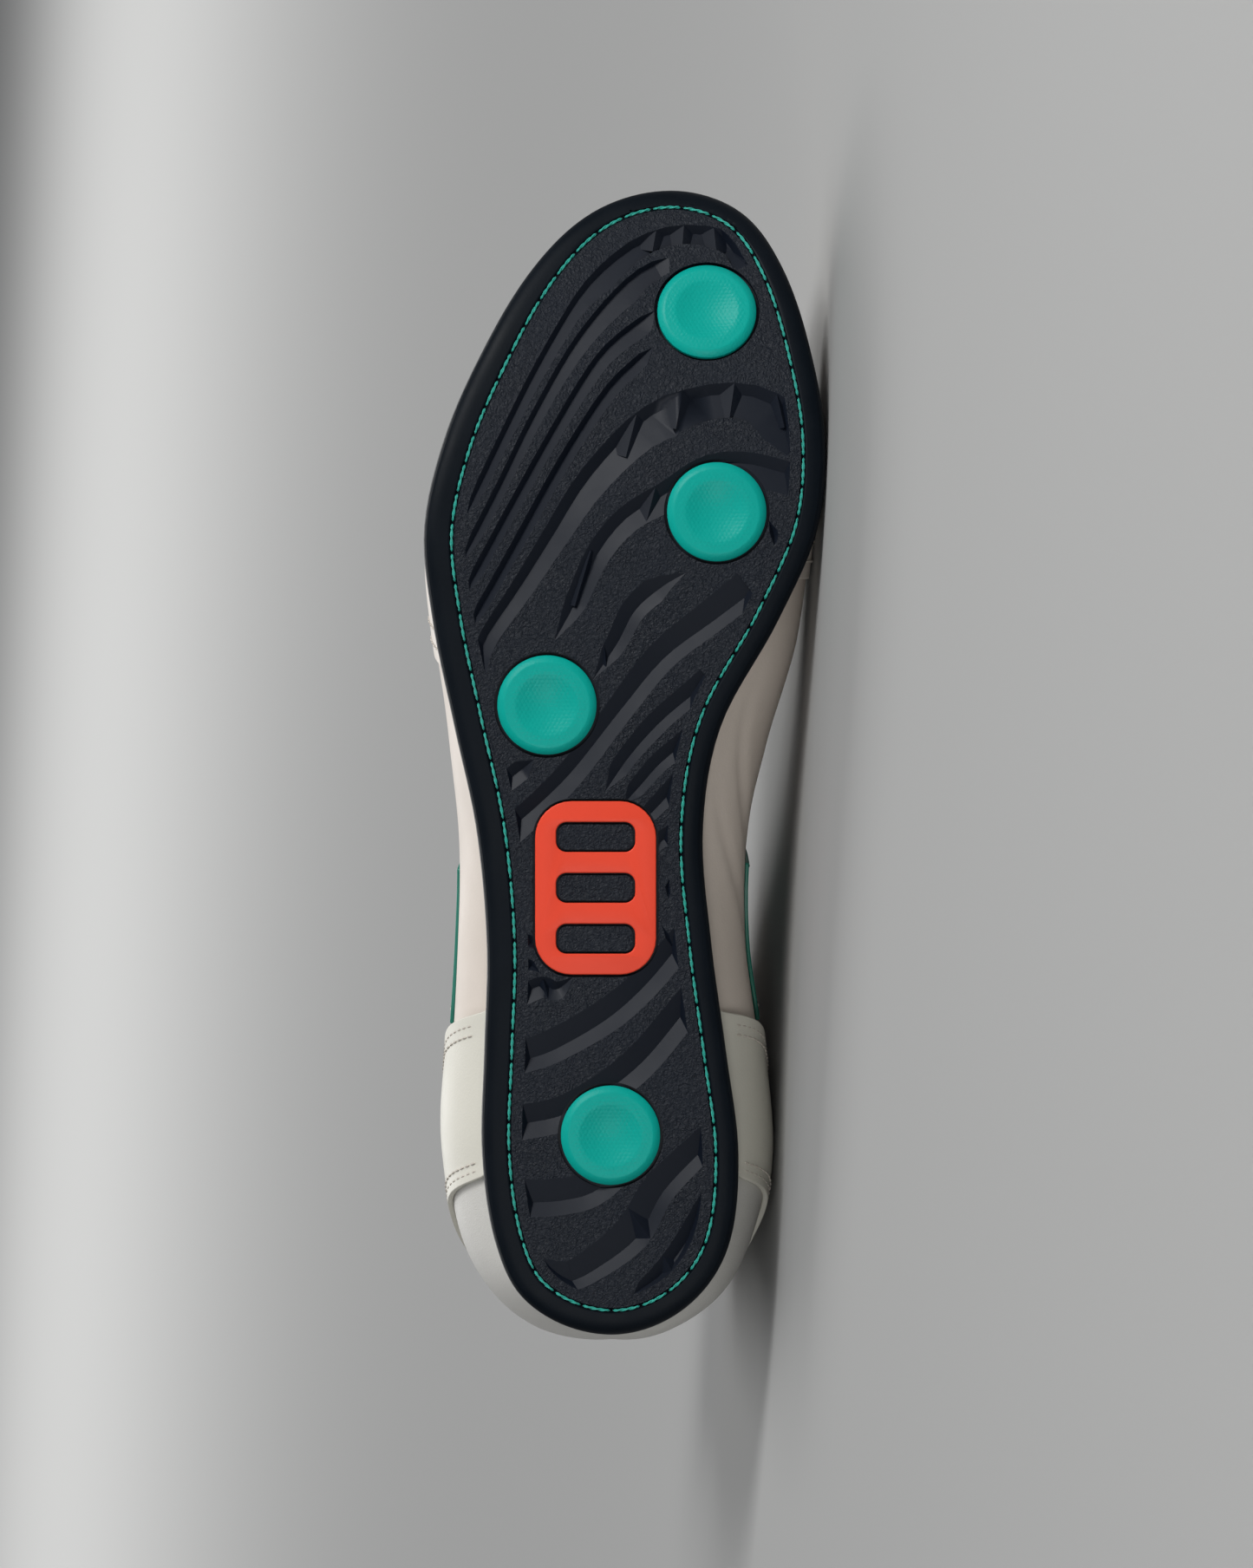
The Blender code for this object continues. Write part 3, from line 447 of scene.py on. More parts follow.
@dataclass
class Wall:
    """The upper's outer face with its creases, sampled once on a fine regular grid."""

    columns: int = 512
    rows: int = 160
    softness: float = 0.25 * MM
    fade_low: float = 0.06
    fade_high: float = 0.04
    pad_start: float = 0.72
    pad_reach: float = 0.2
    pad_end: float = 0.95
    pad_close: float = 0.05
    pad_front: float = 0.34
    pad_fade: float = 0.1
    creases: tuple[Crease, ...] = (
        Crease((0.585, 0.30), (0.640, 0.86), 0.010, 0.8 * MM),
        Crease((0.615, 0.16), (0.668, 0.78), 0.009, 0.7 * MM),
        Crease((0.560, 0.42), (0.600, 0.84), 0.008, 0.5 * MM),
        Crease((1.415, 0.30), (1.350, 0.84), 0.010, 0.8 * MM),
        Crease((1.390, 0.18), (1.325, 0.72), 0.009, 0.6 * MM),
        Crease((0.235, 0.74), (0.385, 0.56), 0.016, 1.1 * MM),
        Crease((0.220, 0.84), (0.370, 0.70), 0.014, 0.9 * MM),
        Crease((1.765, 0.74), (1.620, 0.54), 0.016, 1.1 * MM),
        Crease((1.780, 0.85), (1.630, 0.70), 0.014, 0.9 * MM),
        Crease((1.905, 0.86), (2.095, 0.87), 0.016, 0.9 * MM),
        Crease((1.450, 0.10), (1.560, 0.26), 0.020, 0.7 * MM),
        Crease((1.500, 0.08), (1.620, 0.22), 0.016, 0.6 * MM),
    )
    place: Array = field(init=False, repr=False)
    normal: Array = field(init=False, repr=False)
    length: Array = field(init=False, repr=False)

    def __post_init__(self) -> None:
        """Samples the face, adds the creases and works out the normals."""
        s = round_boot(self.columns)
        shares = np.linspace(0, 1, self.rows + 1)
        self.place = np.empty((self.columns, self.rows + 1, 3))
        self.length = np.empty(self.columns)
        for k, line in enumerate(LAST.columns(s)):
            marks = lengths_along(line)
            self.length[k] = marks[-1]
            self.place[k] = read_along(shares * marks[-1], marks, line)
        self.normal = self.face_normals()
        push = np.zeros(self.place.shape[:2])
        grid_s, grid_share = np.meshgrid(s, shares, indexing="ij")
        for crease in self.creases:
            for turn in (-2, 0, 2):
                push += crease.push(grid_s + turn, grid_share)
        soft = np.sin(grid_s * 37 + grid_share * 9) * np.sin(grid_s * 23 - grid_share * 17)
        push += self.softness * soft
        low = smooth_step(grid_share / self.fade_low)
        fade = low * smooth_step((1 - grid_share) / self.fade_high)
        self.place += self.normal * (push * fade)[..., None]
        self.normal = self.face_normals()

    def face_normals(self) -> Array:
        """Outward unit normals of the sampled face.

        Returns:
            The normals, on the grid of the face.
        """
        up = np.gradient(self.place, axis=1)
        ring = np.concatenate([self.place[-2:], self.place, self.place[:2]])
        along = np.gradient(ring, axis=0)[2:-2]
        return unit(np.cross(along, up))

    def sample(self, s: Array, share: Array) -> tuple[Array, Array]:
        """Points and normals of the face at places and shares of the wall's height.

        Args:
            s: Places on the loop round the boot.
            share: Shares of the wall's height.

        Returns:
            The points and the normals.
        """
        s, share = np.broadcast_arrays(np.asarray(s, float), np.asarray(share, float))
        at = (s % 2) / 2 * self.columns
        k = np.floor(at).astype(int) % self.columns
        part = (at - np.floor(at))[..., None]
        row = np.clip(share, 0, 1) * self.rows
        r = np.minimum(np.floor(row).astype(int), self.rows - 1)
        rise = (row - r)[..., None]
        far = (k + 1) % self.columns
        found = []
        for grid in (self.place, self.normal):
            low = grid[k, r] * (1 - part) + grid[far, r] * part
            high = grid[k, r + 1] * (1 - part) + grid[far, r + 1] * part
            found.append(low * (1 - rise) + high * rise)
        return found[0], unit(found[1])

    def height(self, s: Array) -> Array:
        """The wall's length from sole to top edge at places on the loop.

        Args:
            s: Places on the loop round the boot.

        Returns:
            The lengths.
        """
        at = (np.asarray(s, float) % 2) / 2 * self.columns
        k = np.floor(at).astype(int) % self.columns
        part = at - np.floor(at)
        return self.length[k] * (1 - part) + self.length[(k + 1) % self.columns] * part

    def thickness(self, s: Array, share: Array) -> Array:
        """The wall's thickness, with the collar's padding.

        Args:
            s: Places on the loop round the boot.
            share: Shares of the wall's height.

        Returns:
            The thicknesses.
        """
        along, _ = LAST.place(s)
        started = smooth_step((share - self.pad_start) / self.pad_reach)
        near_top = started * (1 - smooth_step((share - self.pad_end) / self.pad_close))
        round_back = 1 - smooth_step((along - self.pad_front) / self.pad_fade)
        return LAST.wall + LAST.collar_padding * near_top * round_back


WALL = Wall()


def new_object(name: str, data: bpy.types.ID) -> bpy.types.Object:
    """A new object in the scene.

    Args:
        name: Its name.
        data: Its mesh, curve, lamp or camera.

    Returns:
        The object.
    """
    obj = bpy.data.objects.new(name, data)
    bpy.context.scene.collection.objects.link(obj)
    return obj


@contextmanager
def edited(mesh: bpy.types.Mesh) -> Iterator[bmesh.types.BMesh]:
    """Opens a mesh for changes and writes them back.

    Args:
        mesh: The mesh.

    Yields:
        The open mesh.
    """
    work = bmesh.new()
    work.from_mesh(mesh)
    yield work
    work.to_mesh(mesh)
    work.free()


def rest_on_floor(mesh: bpy.types.Mesh) -> None:
    """Presses corners that lie below the floor up to it, as soft leather gives there."""
    for vertex in mesh.vertices:
        if -FLOOR_PRESS < vertex.co.z < 0:
            vertex.co.z = 0.0


def mesh_object(
    name: str,
    points: Array,
    faces: Faces,
    materials: list[bpy.types.Material],
    face_material: Array | None = None,
    sharp: float = 35.0,
) -> bpy.types.Object:
    """Makes an object from points in the boot's frame, laid down and smooth shaded.

    Args:
        name: The object's name.
        points: Its corners, in the boot's frame.
        faces: Its faces, as corner numbers.
        materials: Its material slots.
        face_material: The slot of each face, or None for the first.
        sharp: The angle in degrees above which an edge stays sharp.

    Returns:
        The new object, linked to the scene.
    """
    mesh = bpy.data.meshes.new(name)
    mesh.from_pydata(np.asarray(points).tolist(), [], faces)
    mesh.transform(LAY)
    rest_on_floor(mesh)
    for material in materials:
        mesh.materials.append(material)
    if face_material is not None:
        mesh.polygons.foreach_set("material_index", np.asarray(face_material, int))
    with edited(mesh) as work:
        bmesh.ops.recalc_face_normals(work, faces=work.faces)
    mesh.shade_smooth()
    mesh.set_sharp_from_angle(angle=math.radians(sharp))
    return new_object(name, mesh)


def tube_faces(rings: int, sides: int) -> Faces:
    """Faces of a tube of rings of points, with a flat cap at each end.

    Args:
        rings: How many rings.
        sides: Points in a ring.

    Returns:
        The faces.
    """
    end = (rings - 1) * sides
    caps = [tuple(range(sides)), tuple(range(end, end + sides))]
    return grid_faces(rings, sides, True) + caps


def grid_faces(rows: int, count: int, closed: bool, start: int = 0) -> Faces:
    """Quads of a grid of points, row after row.

    Args:
        rows: How many rows of points.
        count: Points in a row.
        closed: Whether each row is a loop.
        start: The first point's number.

    Returns:
        The faces.
    """
    steps = count if closed else count - 1
    faces = []
    for r in range(rows - 1):
        a, b = start + r * count, start + (r + 1) * count
        for i in range(steps):
            j = (i + 1) % count
            faces.append((a + i, a + j, b + j, b + i))
    return faces


def shell_object(
    name: str,
    outer: Array,
    inner: Array,
    closed: bool,
    materials: list[bpy.types.Material],
) -> bpy.types.Object:
    """A thin closed solid between two grids, with the last material on its inner face.

    Args:
        name: The object's name.
        outer: The outer grid of points, row after row.
        inner: The inner grid.
        closed: Whether each row is a loop.
        materials: Its material slots.

    Returns:
        The object.
    """
    rows, count = outer.shape[:2]
    half = rows * count
    points = np.concatenate([outer.reshape(-1, 3), inner.reshape(-1, 3)])
    front = grid_faces(rows, count, closed)
    back = [tuple(reversed(f)) for f in grid_faces(rows, count, closed, half)]
    rim = []
    steps = count if closed else count - 1
    for i in range(steps):
        j = (i + 1) % count
        a = (rows - 1) * count
        rim.append((i, half + i, half + j, j))
        rim.append((a + i, a + j, half + a + j, half + a + i))
    if not closed:
        for r in range(rows - 1):
            for i in (0, count - 1):
                a, b = r * count + i, (r + 1) * count + i
                rim.append((a, b, half + b, half + a))
    slots = [0] * len(front) + [len(materials) - 1] * len(back) + [0] * len(rim)
    return mesh_object(name, points, front + back + rim, materials, np.array(slots), 50.0)


def helper_mesh(name: str, points: Array, faces: Faces) -> bpy.types.Object:
    """A triangulated object that takes part in a Boolean.

    Args:
        name: Its name.
        points: Its corners.
        faces: Its faces.

    Returns:
        The object.
    """
    obj = mesh_object(name, points, faces, [])
    with edited(obj.data) as work:
        bmesh.ops.triangulate(work, faces=work.faces)
    return obj


def combine(
    obj: bpy.types.Object,
    operation: str,
    others: list[bpy.types.Object],
    folded: bool = False,
) -> None:
    """Joins other objects to one, or cuts them out of it, and removes them.

    Args:
        obj: The object that is changed.
        operation: Blender's name for the Boolean operation.
        others: The objects that are used up.
        folded: Whether an operand runs through itself.
    """
    group = bpy.data.collections.new("operands")
    for other in others:
        group.objects.link(other)
        bpy.context.scene.collection.objects.unlink(other)
    modifier = obj.modifiers.new("combine", "BOOLEAN")
    modifier.operation = operation
    modifier.solver = "EXACT"
    modifier.use_self = folded
    modifier.operand_type = "COLLECTION"
    modifier.collection = group
    bake_modifiers(obj)
    for other in others:
        bpy.data.objects.remove(other)
    bpy.data.collections.remove(group)


def add_bevel(obj: bpy.types.Object, width: float, segments: int = 2) -> None:
    """Rounds an object's hard edges.

    Args:
        obj: The object.
        width: The width of the rounding.
        segments: Its spans.
    """
    modifier = obj.modifiers.new("rounded edges", "BEVEL")
    modifier.width = width
    modifier.segments = segments
    modifier.limit_method = "ANGLE"
    modifier.angle_limit = math.radians(BEVEL_ANGLE)
    modifier.use_clamp_overlap = True


def bake_modifiers(obj: bpy.types.Object) -> None:
    """Puts an object's modifiers into its mesh.

    Args:
        obj: The object.
    """
    graph = bpy.context.evaluated_depsgraph_get()
    mesh = bpy.data.meshes.new_from_object(obj.evaluated_get(graph))
    obj.modifiers.clear()
    obj.data = mesh


def shown(obj: bpy.types.Object, slot: str, *nodes: str) -> bpy.types.Object:
    """Fixes a piece to the boot, hides the CAD nodes it replaces and logs its face count.

    Args:
        obj: The piece, in place.
        slot: The record's material slot; not used.
        nodes: The CAD nodes it replaces.

    Returns:
        The same piece.
    """
    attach(obj, ROOT)
    if nodes:
        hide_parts(*nodes)
    LOG.info("%s: %d faces", obj.name, len(obj.data.polygons))
    return obj


# Shared effects

Link = tuple[bpy.types.Node, str | int, bpy.types.Node, str | int]


def add_node(
    tree: bpy.types.NodeTree,
    kind: str,
    values: dict[str | int, object] | None = None,
    **settings: object,
) -> bpy.types.Node:
    """Adds a shader node.

    Args:
        tree: The tree that it goes into.
        kind: Its type, without the words ShaderNode.
        values: Values of its inputs, by name or number.
        **settings: Its properties, which are set before the values.

    Returns:
        The node.
    """
    node = tree.nodes.new("ShaderNode" + kind)
    for name, setting in settings.items():
        setattr(node, name, setting)
    for name, value in (values or {}).items():
        node.inputs[name].default_value = value
    return node


def wire(tree: bpy.types.NodeTree, *links: Link) -> None:
    """Links nodes: each link is a node, its output, the next node and its input.

    Args:
        tree: The tree that holds them.
        *links: The links.
    """
    for source, output, target, given in links:
        tree.links.new(source.outputs[output], target.inputs[given])


class Effects:
    """Node groups that several materials use."""

    drift_share: float = 0.004
    wrinkles_per_cell: float = 0.55
    patches_to_gloss: float = 0.16
    waves_per_thread: float = 0.31

    def __init__(self) -> None:
        """Builds every group once."""
        self.grain = self.build_grain()
        self.mottle = self.build_mottle()
        self.weave = self.build_weave()

    @staticmethod
    def new_group(
        name: str, inputs: dict[str, float | tuple[float, ...]], outputs: dict[str, str]
    ) -> tuple[bpy.types.NodeTree, bpy.types.Node, bpy.types.Node]:
        """A node group with named sockets.

        Args:
            name: The group's name.
            inputs: Socket names with their values; four numbers make a colour.
            outputs: Socket names with their socket types.

        Returns:
            The group, its input node and its output node.
        """
        group = bpy.data.node_groups.new(name, "ShaderNodeTree")
        for label, value in inputs.items():
            kind = "NodeSocketColor" if isinstance(value, tuple) else "NodeSocketFloat"
            socket = group.interface.new_socket(label, in_out="INPUT", socket_type=kind)
            socket.default_value = value
        for label, kind in outputs.items():
            group.interface.new_socket(label, in_out="OUTPUT", socket_type=kind)
        return group, group.nodes.new("NodeGroupInput"), group.nodes.new("NodeGroupOutput")

    def build_grain(self) -> bpy.types.NodeTree:
        """Pebbled grain crossed by fine wrinkles: a height from 0 to 1.

        Returns:
            The node group.
        """
        group, given, made = self.new_group(
            "pebble_grain",
            {"Cells per metre": 900.0, "Wrinkle": 0.5},
            {"Height": "NodeSocketFloat"},
        )
        place = add_node(group, "TexCoord")
        drift = add_node(group, "TexNoise", {"Scale": 260.0, "Detail": 3.0})
        mix = add_node(group, "Mix", {"Factor": self.drift_share}, data_type="VECTOR")
        cells = add_node(group, "TexVoronoi", feature="F1")
        ridges = add_node(
            group, "TexNoise", {"Detail": 4.0, "Roughness": 0.6, "Distortion": 1.2}
        )
        coarser = add_node(group, "Math", {1: self.wrinkles_per_cell}, operation="MULTIPLY")
        scaled = add_node(group, "Math", operation="MULTIPLY")
        total = add_node(group, "Math", operation="ADD")
        wire(
            group,
            (place, "Object", drift, "Vector"),
            (place, "Object", mix, "A"),
            (drift, "Color", mix, "B"),
            (mix, "Result", cells, "Vector"),
            (given, "Cells per metre", cells, "Scale"),
            (given, "Cells per metre", coarser, 0),
            (place, "Object", ridges, "Vector"),
            (coarser, 0, ridges, "Scale"),
            (ridges, "Fac", scaled, 0),
            (given, "Wrinkle", scaled, 1),
            (cells, "Distance", total, 0),
            (scaled, 0, total, 1),
            (total, 0, made, "Height"),
        )
        return group

    def build_mottle(self) -> bpy.types.NodeTree:
        """Soft unevenness of colour and gloss.

        Returns:
            The node group.
        """
        group, given, made = self.new_group(
            "mottle",
            {
                "Colour": (0.5, 0.5, 0.5, 1.0),
                "Shade": (0.4, 0.4, 0.4, 1.0),
                "Patch scale": 30.0,
                "Amount": 0.5,
                "Roughness": 0.5,
            },
            {"Colour": "NodeSocketColor", "Roughness": "NodeSocketFloat"},
        )
        place = add_node(group, "TexCoord")
        cloud = add_node(group, "TexNoise", {"Detail": 6.0, "Roughness": 0.62})
        curve = add_node(group, "MapRange", {"From Min": 0.38, "From Max": 0.68})
        share = add_node(group, "Math", operation="MULTIPLY")
        mix = add_node(group, "Mix", data_type="RGBA")
        gloss = add_node(group, "Math", {1: self.patches_to_gloss}, operation="MULTIPLY_ADD")
        wire(
            group,
            (place, "Object", cloud, "Vector"),
            (given, "Patch scale", cloud, "Scale"),
            (cloud, "Fac", curve, "Value"),
            (curve, "Result", share, 0),
            (given, "Amount", share, 1),
            (share, 0, mix, "Factor"),
            (given, "Colour", mix, "A"),
            (given, "Shade", mix, "B"),
            (share, 0, gloss, 0),
            (given, "Roughness", gloss, 2),
            (mix, "Result", made, "Colour"),
            (gloss, 0, made, "Roughness"),
        )
        return group

    def build_weave(self) -> bpy.types.NodeTree:
        """A fine woven or knitted surface: a height from 0 to 1.

        Returns:
            The node group.
        """
        group, given, made = self.new_group(
            "weave", {"Threads per metre": 900.0}, {"Height": "NodeSocketFloat"}
        )
        place = add_node(group, "TexCoord")
        total = add_node(group, "Math", operation="ADD")
        for k, direction in enumerate(("X", "Z")):
            wave = add_node(
                group, "TexWave", {"Distortion": 0.6, "Detail": 1.0},
                wave_type="BANDS", bands_direction=direction,
            )
            scale = add_node(group, "Math", {1: self.waves_per_thread}, operation="MULTIPLY")
            wire(
                group,
                (given, "Threads per metre", scale, 0),
                (scale, 0, wave, "Scale"),
                (place, "Object", wave, "Vector"),
                (wave, "Fac", total, k),
            )
        wire(group, (total, 0, made, "Height"))
        return group


@dataclass(frozen=True)
class Finish:
    """One surface: its colour, gloss and relief."""

    name: str
    colour: Triple
    shade: Triple
    roughness: float
    relief: str = "grain"
    relief_scale: float = 900.0
    wrinkle: float = 0.5
    relief_depth: float = 0.1 * MM
    relief_strength: float = 0.6
    patch_scale: float = 30.0
    patch_amount: float = 0.5
    sheen: float = 0.0
    specular: float = 0.5

    def build(self, effects: Effects) -> bpy.types.Material:
        """Makes the material.

        Args:
            effects: The shared node groups.

        Returns:
            The material.
        """
        material = bpy.data.materials.new(self.name)
        material.use_nodes = True
        tree = material.node_tree
        shader = tree.nodes["Principled BSDF"]
        shader.inputs["Sheen Weight"].default_value = self.sheen
        shader.inputs["Specular IOR Level"].default_value = self.specular
        colours = {"Colour": (*self.colour, 1), "Shade": (*self.shade, 1)}
        patches = {"Patch scale": self.patch_scale, "Amount": self.patch_amount}
        mottle = add_node(
            tree, "Group", {**colours, **patches, "Roughness": self.roughness},
            node_tree=effects.mottle,
        )
        if self.relief == "weave":
            group, values = effects.weave, {"Threads per metre": self.relief_scale}
        else:
            group = effects.grain
            values = {"Cells per metre": self.relief_scale, "Wrinkle": self.wrinkle}
        surface = add_node(tree, "Group", values, node_tree=group)
        lift = {"Distance": self.relief_depth, "Strength": self.relief_strength}
        relief = add_node(tree, "Bump", lift)
        wire(
            tree,
            (mottle, "Colour", shader, "Base Color"),
            (mottle, "Roughness", shader, "Roughness"),
            (surface, "Height", relief, "Height"),
            (relief, "Normal", shader, "Normal"),
        )
        return material


@dataclass(frozen=True)
class Finishes:
    """Every finish of the boot."""

    rib: Finish = Finish(
        "tread_rib_rubber", (0.002, 0.0048, 0.0105), (0.0045, 0.008, 0.0155), 0.5,
        relief_scale=1400.0, wrinkle=2.3, relief_depth=0.24 * MM, relief_strength=1.0,
        patch_scale=60.0, specular=0.3,
    )
    # Smooth rubber of the groove slopes; its colour, a touch darker than the ribs', is painted
    # shade in the grooves.
    groove: Finish = Finish(
        "tread_groove_rubber_and_painted_shade", (0.002, 0.0045, 0.0105), (0.0035, 0.0065, 0.0135), 0.5,
        relief_scale=1500.0, wrinkle=0.3, relief_depth=0.03 * MM, relief_strength=0.3,
        specular=0.25,
    )
    rim: Finish = Finish(
        "sole_rim_rubber", (0.0012, 0.0032, 0.006), (0.003, 0.0055, 0.0092), 0.47,
        relief_scale=1800.0, wrinkle=0.5, relief_depth=0.03 * MM, relief_strength=0.4,
        patch_scale=80.0, specular=0.1,
    )
    teal: Finish = Finish(
        "teal_disc_rubber", (0.0, 0.33, 0.275), (0.0, 0.29, 0.245), 0.4,
        relief_scale=1300.0, wrinkle=0.15, relief_depth=0.05 * MM, relief_strength=0.6,
        specular=0.15,
    )
    teal_thread: Finish = Finish(
        "teal_thread", (0.002, 0.33, 0.26), (0.002, 0.24, 0.19), 0.55,
        relief="weave", relief_scale=3000.0, relief_depth=0.03 * MM, sheen=0.2,
    )
    orange: Finish = Finish(
        "orange_rubber", (0.74, 0.06, 0.026), (0.66, 0.052, 0.023), 0.42,
        relief_scale=1600.0, wrinkle=0.3, relief_depth=0.03 * MM, relief_strength=0.3,
        specular=0.2,
    )
    quarter: Finish = Finish(
        "cream_quarter_leather", (0.60, 0.53, 0.465), (0.54, 0.475, 0.41), 0.52,
        relief_scale=1500.0, wrinkle=0.5, relief_depth=0.06 * MM, relief_strength=0.35,
    )
    vamp: Finish = Finish(
        "cream_vamp_leather", (0.64, 0.58, 0.515), (0.58, 0.52, 0.455), 0.48,
        relief_scale=1300.0, wrinkle=0.6, relief_depth=0.07 * MM, relief_strength=0.45,
    )
    strap: Finish = Finish(
        "off_white_strap_leather", (0.60, 0.582, 0.505), (0.54, 0.525, 0.455), 0.5,
        relief_scale=1300.0, wrinkle=0.5, relief_depth=0.06 * MM, relief_strength=0.4,
    )
    cap: Finish = Finish(
        "grey_white_heel_cap", (0.55, 0.54, 0.505), (0.48, 0.47, 0.44), 0.58,
        relief_scale=2200.0, wrinkle=0.8, relief_depth=0.06 * MM, relief_strength=0.7,
    )
    green: Finish = Finish(
        "green_side_panel", (0.003, 0.16, 0.11), (0.003, 0.12, 0.085), 0.4,
        relief_scale=1500.0, wrinkle=0.4, relief_depth=0.05 * MM, relief_strength=0.4,
    )
    lining: Finish = Finish(
        "collar_lining", (0.30, 0.29, 0.275), (0.24, 0.23, 0.22), 0.85,
        relief="weave", relief_scale=900.0, relief_depth=0.25 * MM, sheen=0.3,
    )
    tongue: Finish = Finish(
        "tongue_textile", (0.56, 0.535, 0.49), (0.49, 0.465, 0.42), 0.8,
        relief="weave", relief_scale=700.0, relief_depth=0.3 * MM, sheen=0.25,
    )
    lace: Finish = Finish(
        "woven_lace", (0.62, 0.60, 0.55), (0.54, 0.52, 0.475), 0.82,
        relief="weave", relief_scale=1500.0, relief_depth=0.3 * MM, sheen=0.2,
    )
    thread: Finish = Finish(
        "cream_thread", (0.53, 0.485, 0.425), (0.46, 0.42, 0.365), 0.75,
        relief="weave", relief_scale=3000.0, relief_depth=0.05 * MM,
    )
    insole: Finish = Finish(
        "insole_textile", (0.05, 0.055, 0.065), (0.035, 0.04, 0.048), 0.9,
        relief="weave", relief_scale=800.0, relief_depth=0.25 * MM,
    )
    eyelet: Finish = Finish(
        "eyelet_ring", (0.42, 0.42, 0.40), (0.36, 0.36, 0.34), 0.35,
        relief_scale=1500.0, relief_depth=0.02 * MM, relief_strength=0.2,
    )


EFFECTS = Effects()
MATERIALS: dict[str, bpy.types.Material] = {}


def finish(kind: Finish) -> bpy.types.Material:
    """The material of a finish, made once.

    Args:
        kind: The finish.

    Returns:
        The material.
    """
    if kind.name not in MATERIALS:
        MATERIALS[kind.name] = kind.build(EFFECTS)
    return MATERIALS[kind.name]


FINISH = Finishes()


@dataclass
class Parts:
    """Closed solids that become one object."""

    points: list[Array] = field(default_factory=list)
    faces: Faces = field(default_factory=list)
    slots: list[int] = field(default_factory=list)
    count: int = 0

    def add(self, points: Array, faces: Faces, slot: int = 0) -> None:
        """Adds a solid, with its faces in one material slot.

        Args:
            points: Its corners.
            faces: Its faces, as its own corner numbers.
            slot: The slot.
        """
        self.faces += [tuple(self.count + i for i in face) for face in faces]
        self.slots += [slot] * len(faces)
        self.points.append(points)
        self.count += len(points)

    def build(self, name: str, kinds: list[Finish], sharp: float) -> bpy.types.Object:
        """Makes the object in its finishes.

        Args:
            name: Its name.
            kinds: The finish of each slot.
            sharp: The angle in degrees above which an edge stays sharp.

        Returns:
            The object.
        """
        materials = [finish(kind) for kind in kinds]
        points = np.concatenate(self.points)
        return mesh_object(name, points, self.faces, materials, np.array(self.slots), sharp)


# Sole


@dataclass(frozen=True)
class Groove:
    """A V groove of the tread along a curve, in mm in the boot's frame.

    The toe and heel widths are those of its two slopes, at its start, middle and end. A tip is
    the length over which an end runs out to a point; an end without one runs on past its mark,
    to be closed by the sloping border of the tread's field.
    """

    marks: Table
    toe_side: Triple
    heel_side: Triple
    depth: float = 1.5
    tips: tuple[float, float] = (0.0, 0.0)
    overrun: float = 5.0
    above: float = 1.2
    finest: float = 0.03

    def path(self, steps: int) -> Array:
        """The line of the groove's bottom, with its open ends run on.

        Args:
            steps: How many spans it has.

        Returns:
            The points, in mm.
        """
        knots = np.array(self.marks, float)
        first = knots[0] - unit(knots[1] - knots[0]) * self.overrun
        last = knots[-1] + unit(knots[-1] - knots[-2]) * self.overrun
        if not self.tips[0]:
            knots = np.vstack([first, knots])
        if not self.tips[1]:
            knots = np.vstack([knots, last])
        return curve_through(knots, steps)

    def cutter(self, steps: int = 24) -> tuple[Array, Faces]:
        """A closed wedge along the groove, standing past the tread.

        Args:
            steps: How many spans it has along its length.

        Returns:
            Its points and faces.
        """
        line = self.path(steps)
        along = unit(np.gradient(line, axis=0))
        side = np.stack([-along[:, 1], along[:, 0]], -1)
        if side[steps // 2].sum() < 0:
            side = -side
        t = np.linspace(0, 1, steps + 1)
        length = np.linalg.norm(np.diff(line, axis=0), axis=1).sum()
        toe = np.interp(t, (0, 0.5, 1), self.toe_side)
        heel = np.interp(t, (0, 0.5, 1), self.heel_side)
        widest = (toe + heel).max()
        taper = ((toe + heel) / widest) ** 0.6
        for from_end, tip in zip((t, 1 - t), self.tips):
            if tip:
                close = np.clip(from_end * length / tip, self.finest, 1)
                taper, toe, heel = taper * close, toe * close, heel * close
        depth = self.depth * taper
        grow = 1 + self.above / depth
        base = LAST.tread_z(line[:, 1] * MM) / MM
        points = []
        top = -self.above
        for reach, up in ((0 * toe, depth), (toe * grow, top), (-heel * grow, top)):
            points.append(np.column_stack([line + side * reach[:, None], base + up]))
        return np.stack(points, 1).reshape(-1, 3) * MM, tube_faces(steps + 1, 3)


@dataclass(frozen=True)
class Fin:
    """A sharp ridge left standing across a groove, from its toe edge to its heel edge, in mm."""

    top: tuple[float, float]
    foot: tuple[float, float]
    outer_slope: float = 3.0
    inner_slope: float = 2.3
    below: float = 0.12
    base: float = 2.6

    def solid(self) -> tuple[Array, Faces]:
        """The ridge as a closed wedge that stands in the rubber.

        Returns:
            Points and faces.
        """
        ends = np.array([self.top, self.foot], float)
        along = unit(ends[1] - ends[0])
        side = np.array([-along[1], along[0]])
        side = side if side[0] > 0 else -side
        points = []
        for end in ends:
            level = float(LAST.tread_z(end[1] * MM)) / MM
            deep = level + self.below + self.base
            points.append((*end, level + self.below))
            points.append((*(end + side * self.outer_slope * self.base / 2), deep))
            points.append((*(end - side * self.inner_slope * self.base / 2), deep))
        faces = [(0, 1, 2), (3, 4, 5), (0, 1, 4, 3), (1, 2, 5, 4), (2, 0, 3, 5)]
        return np.array(points) * MM, faces


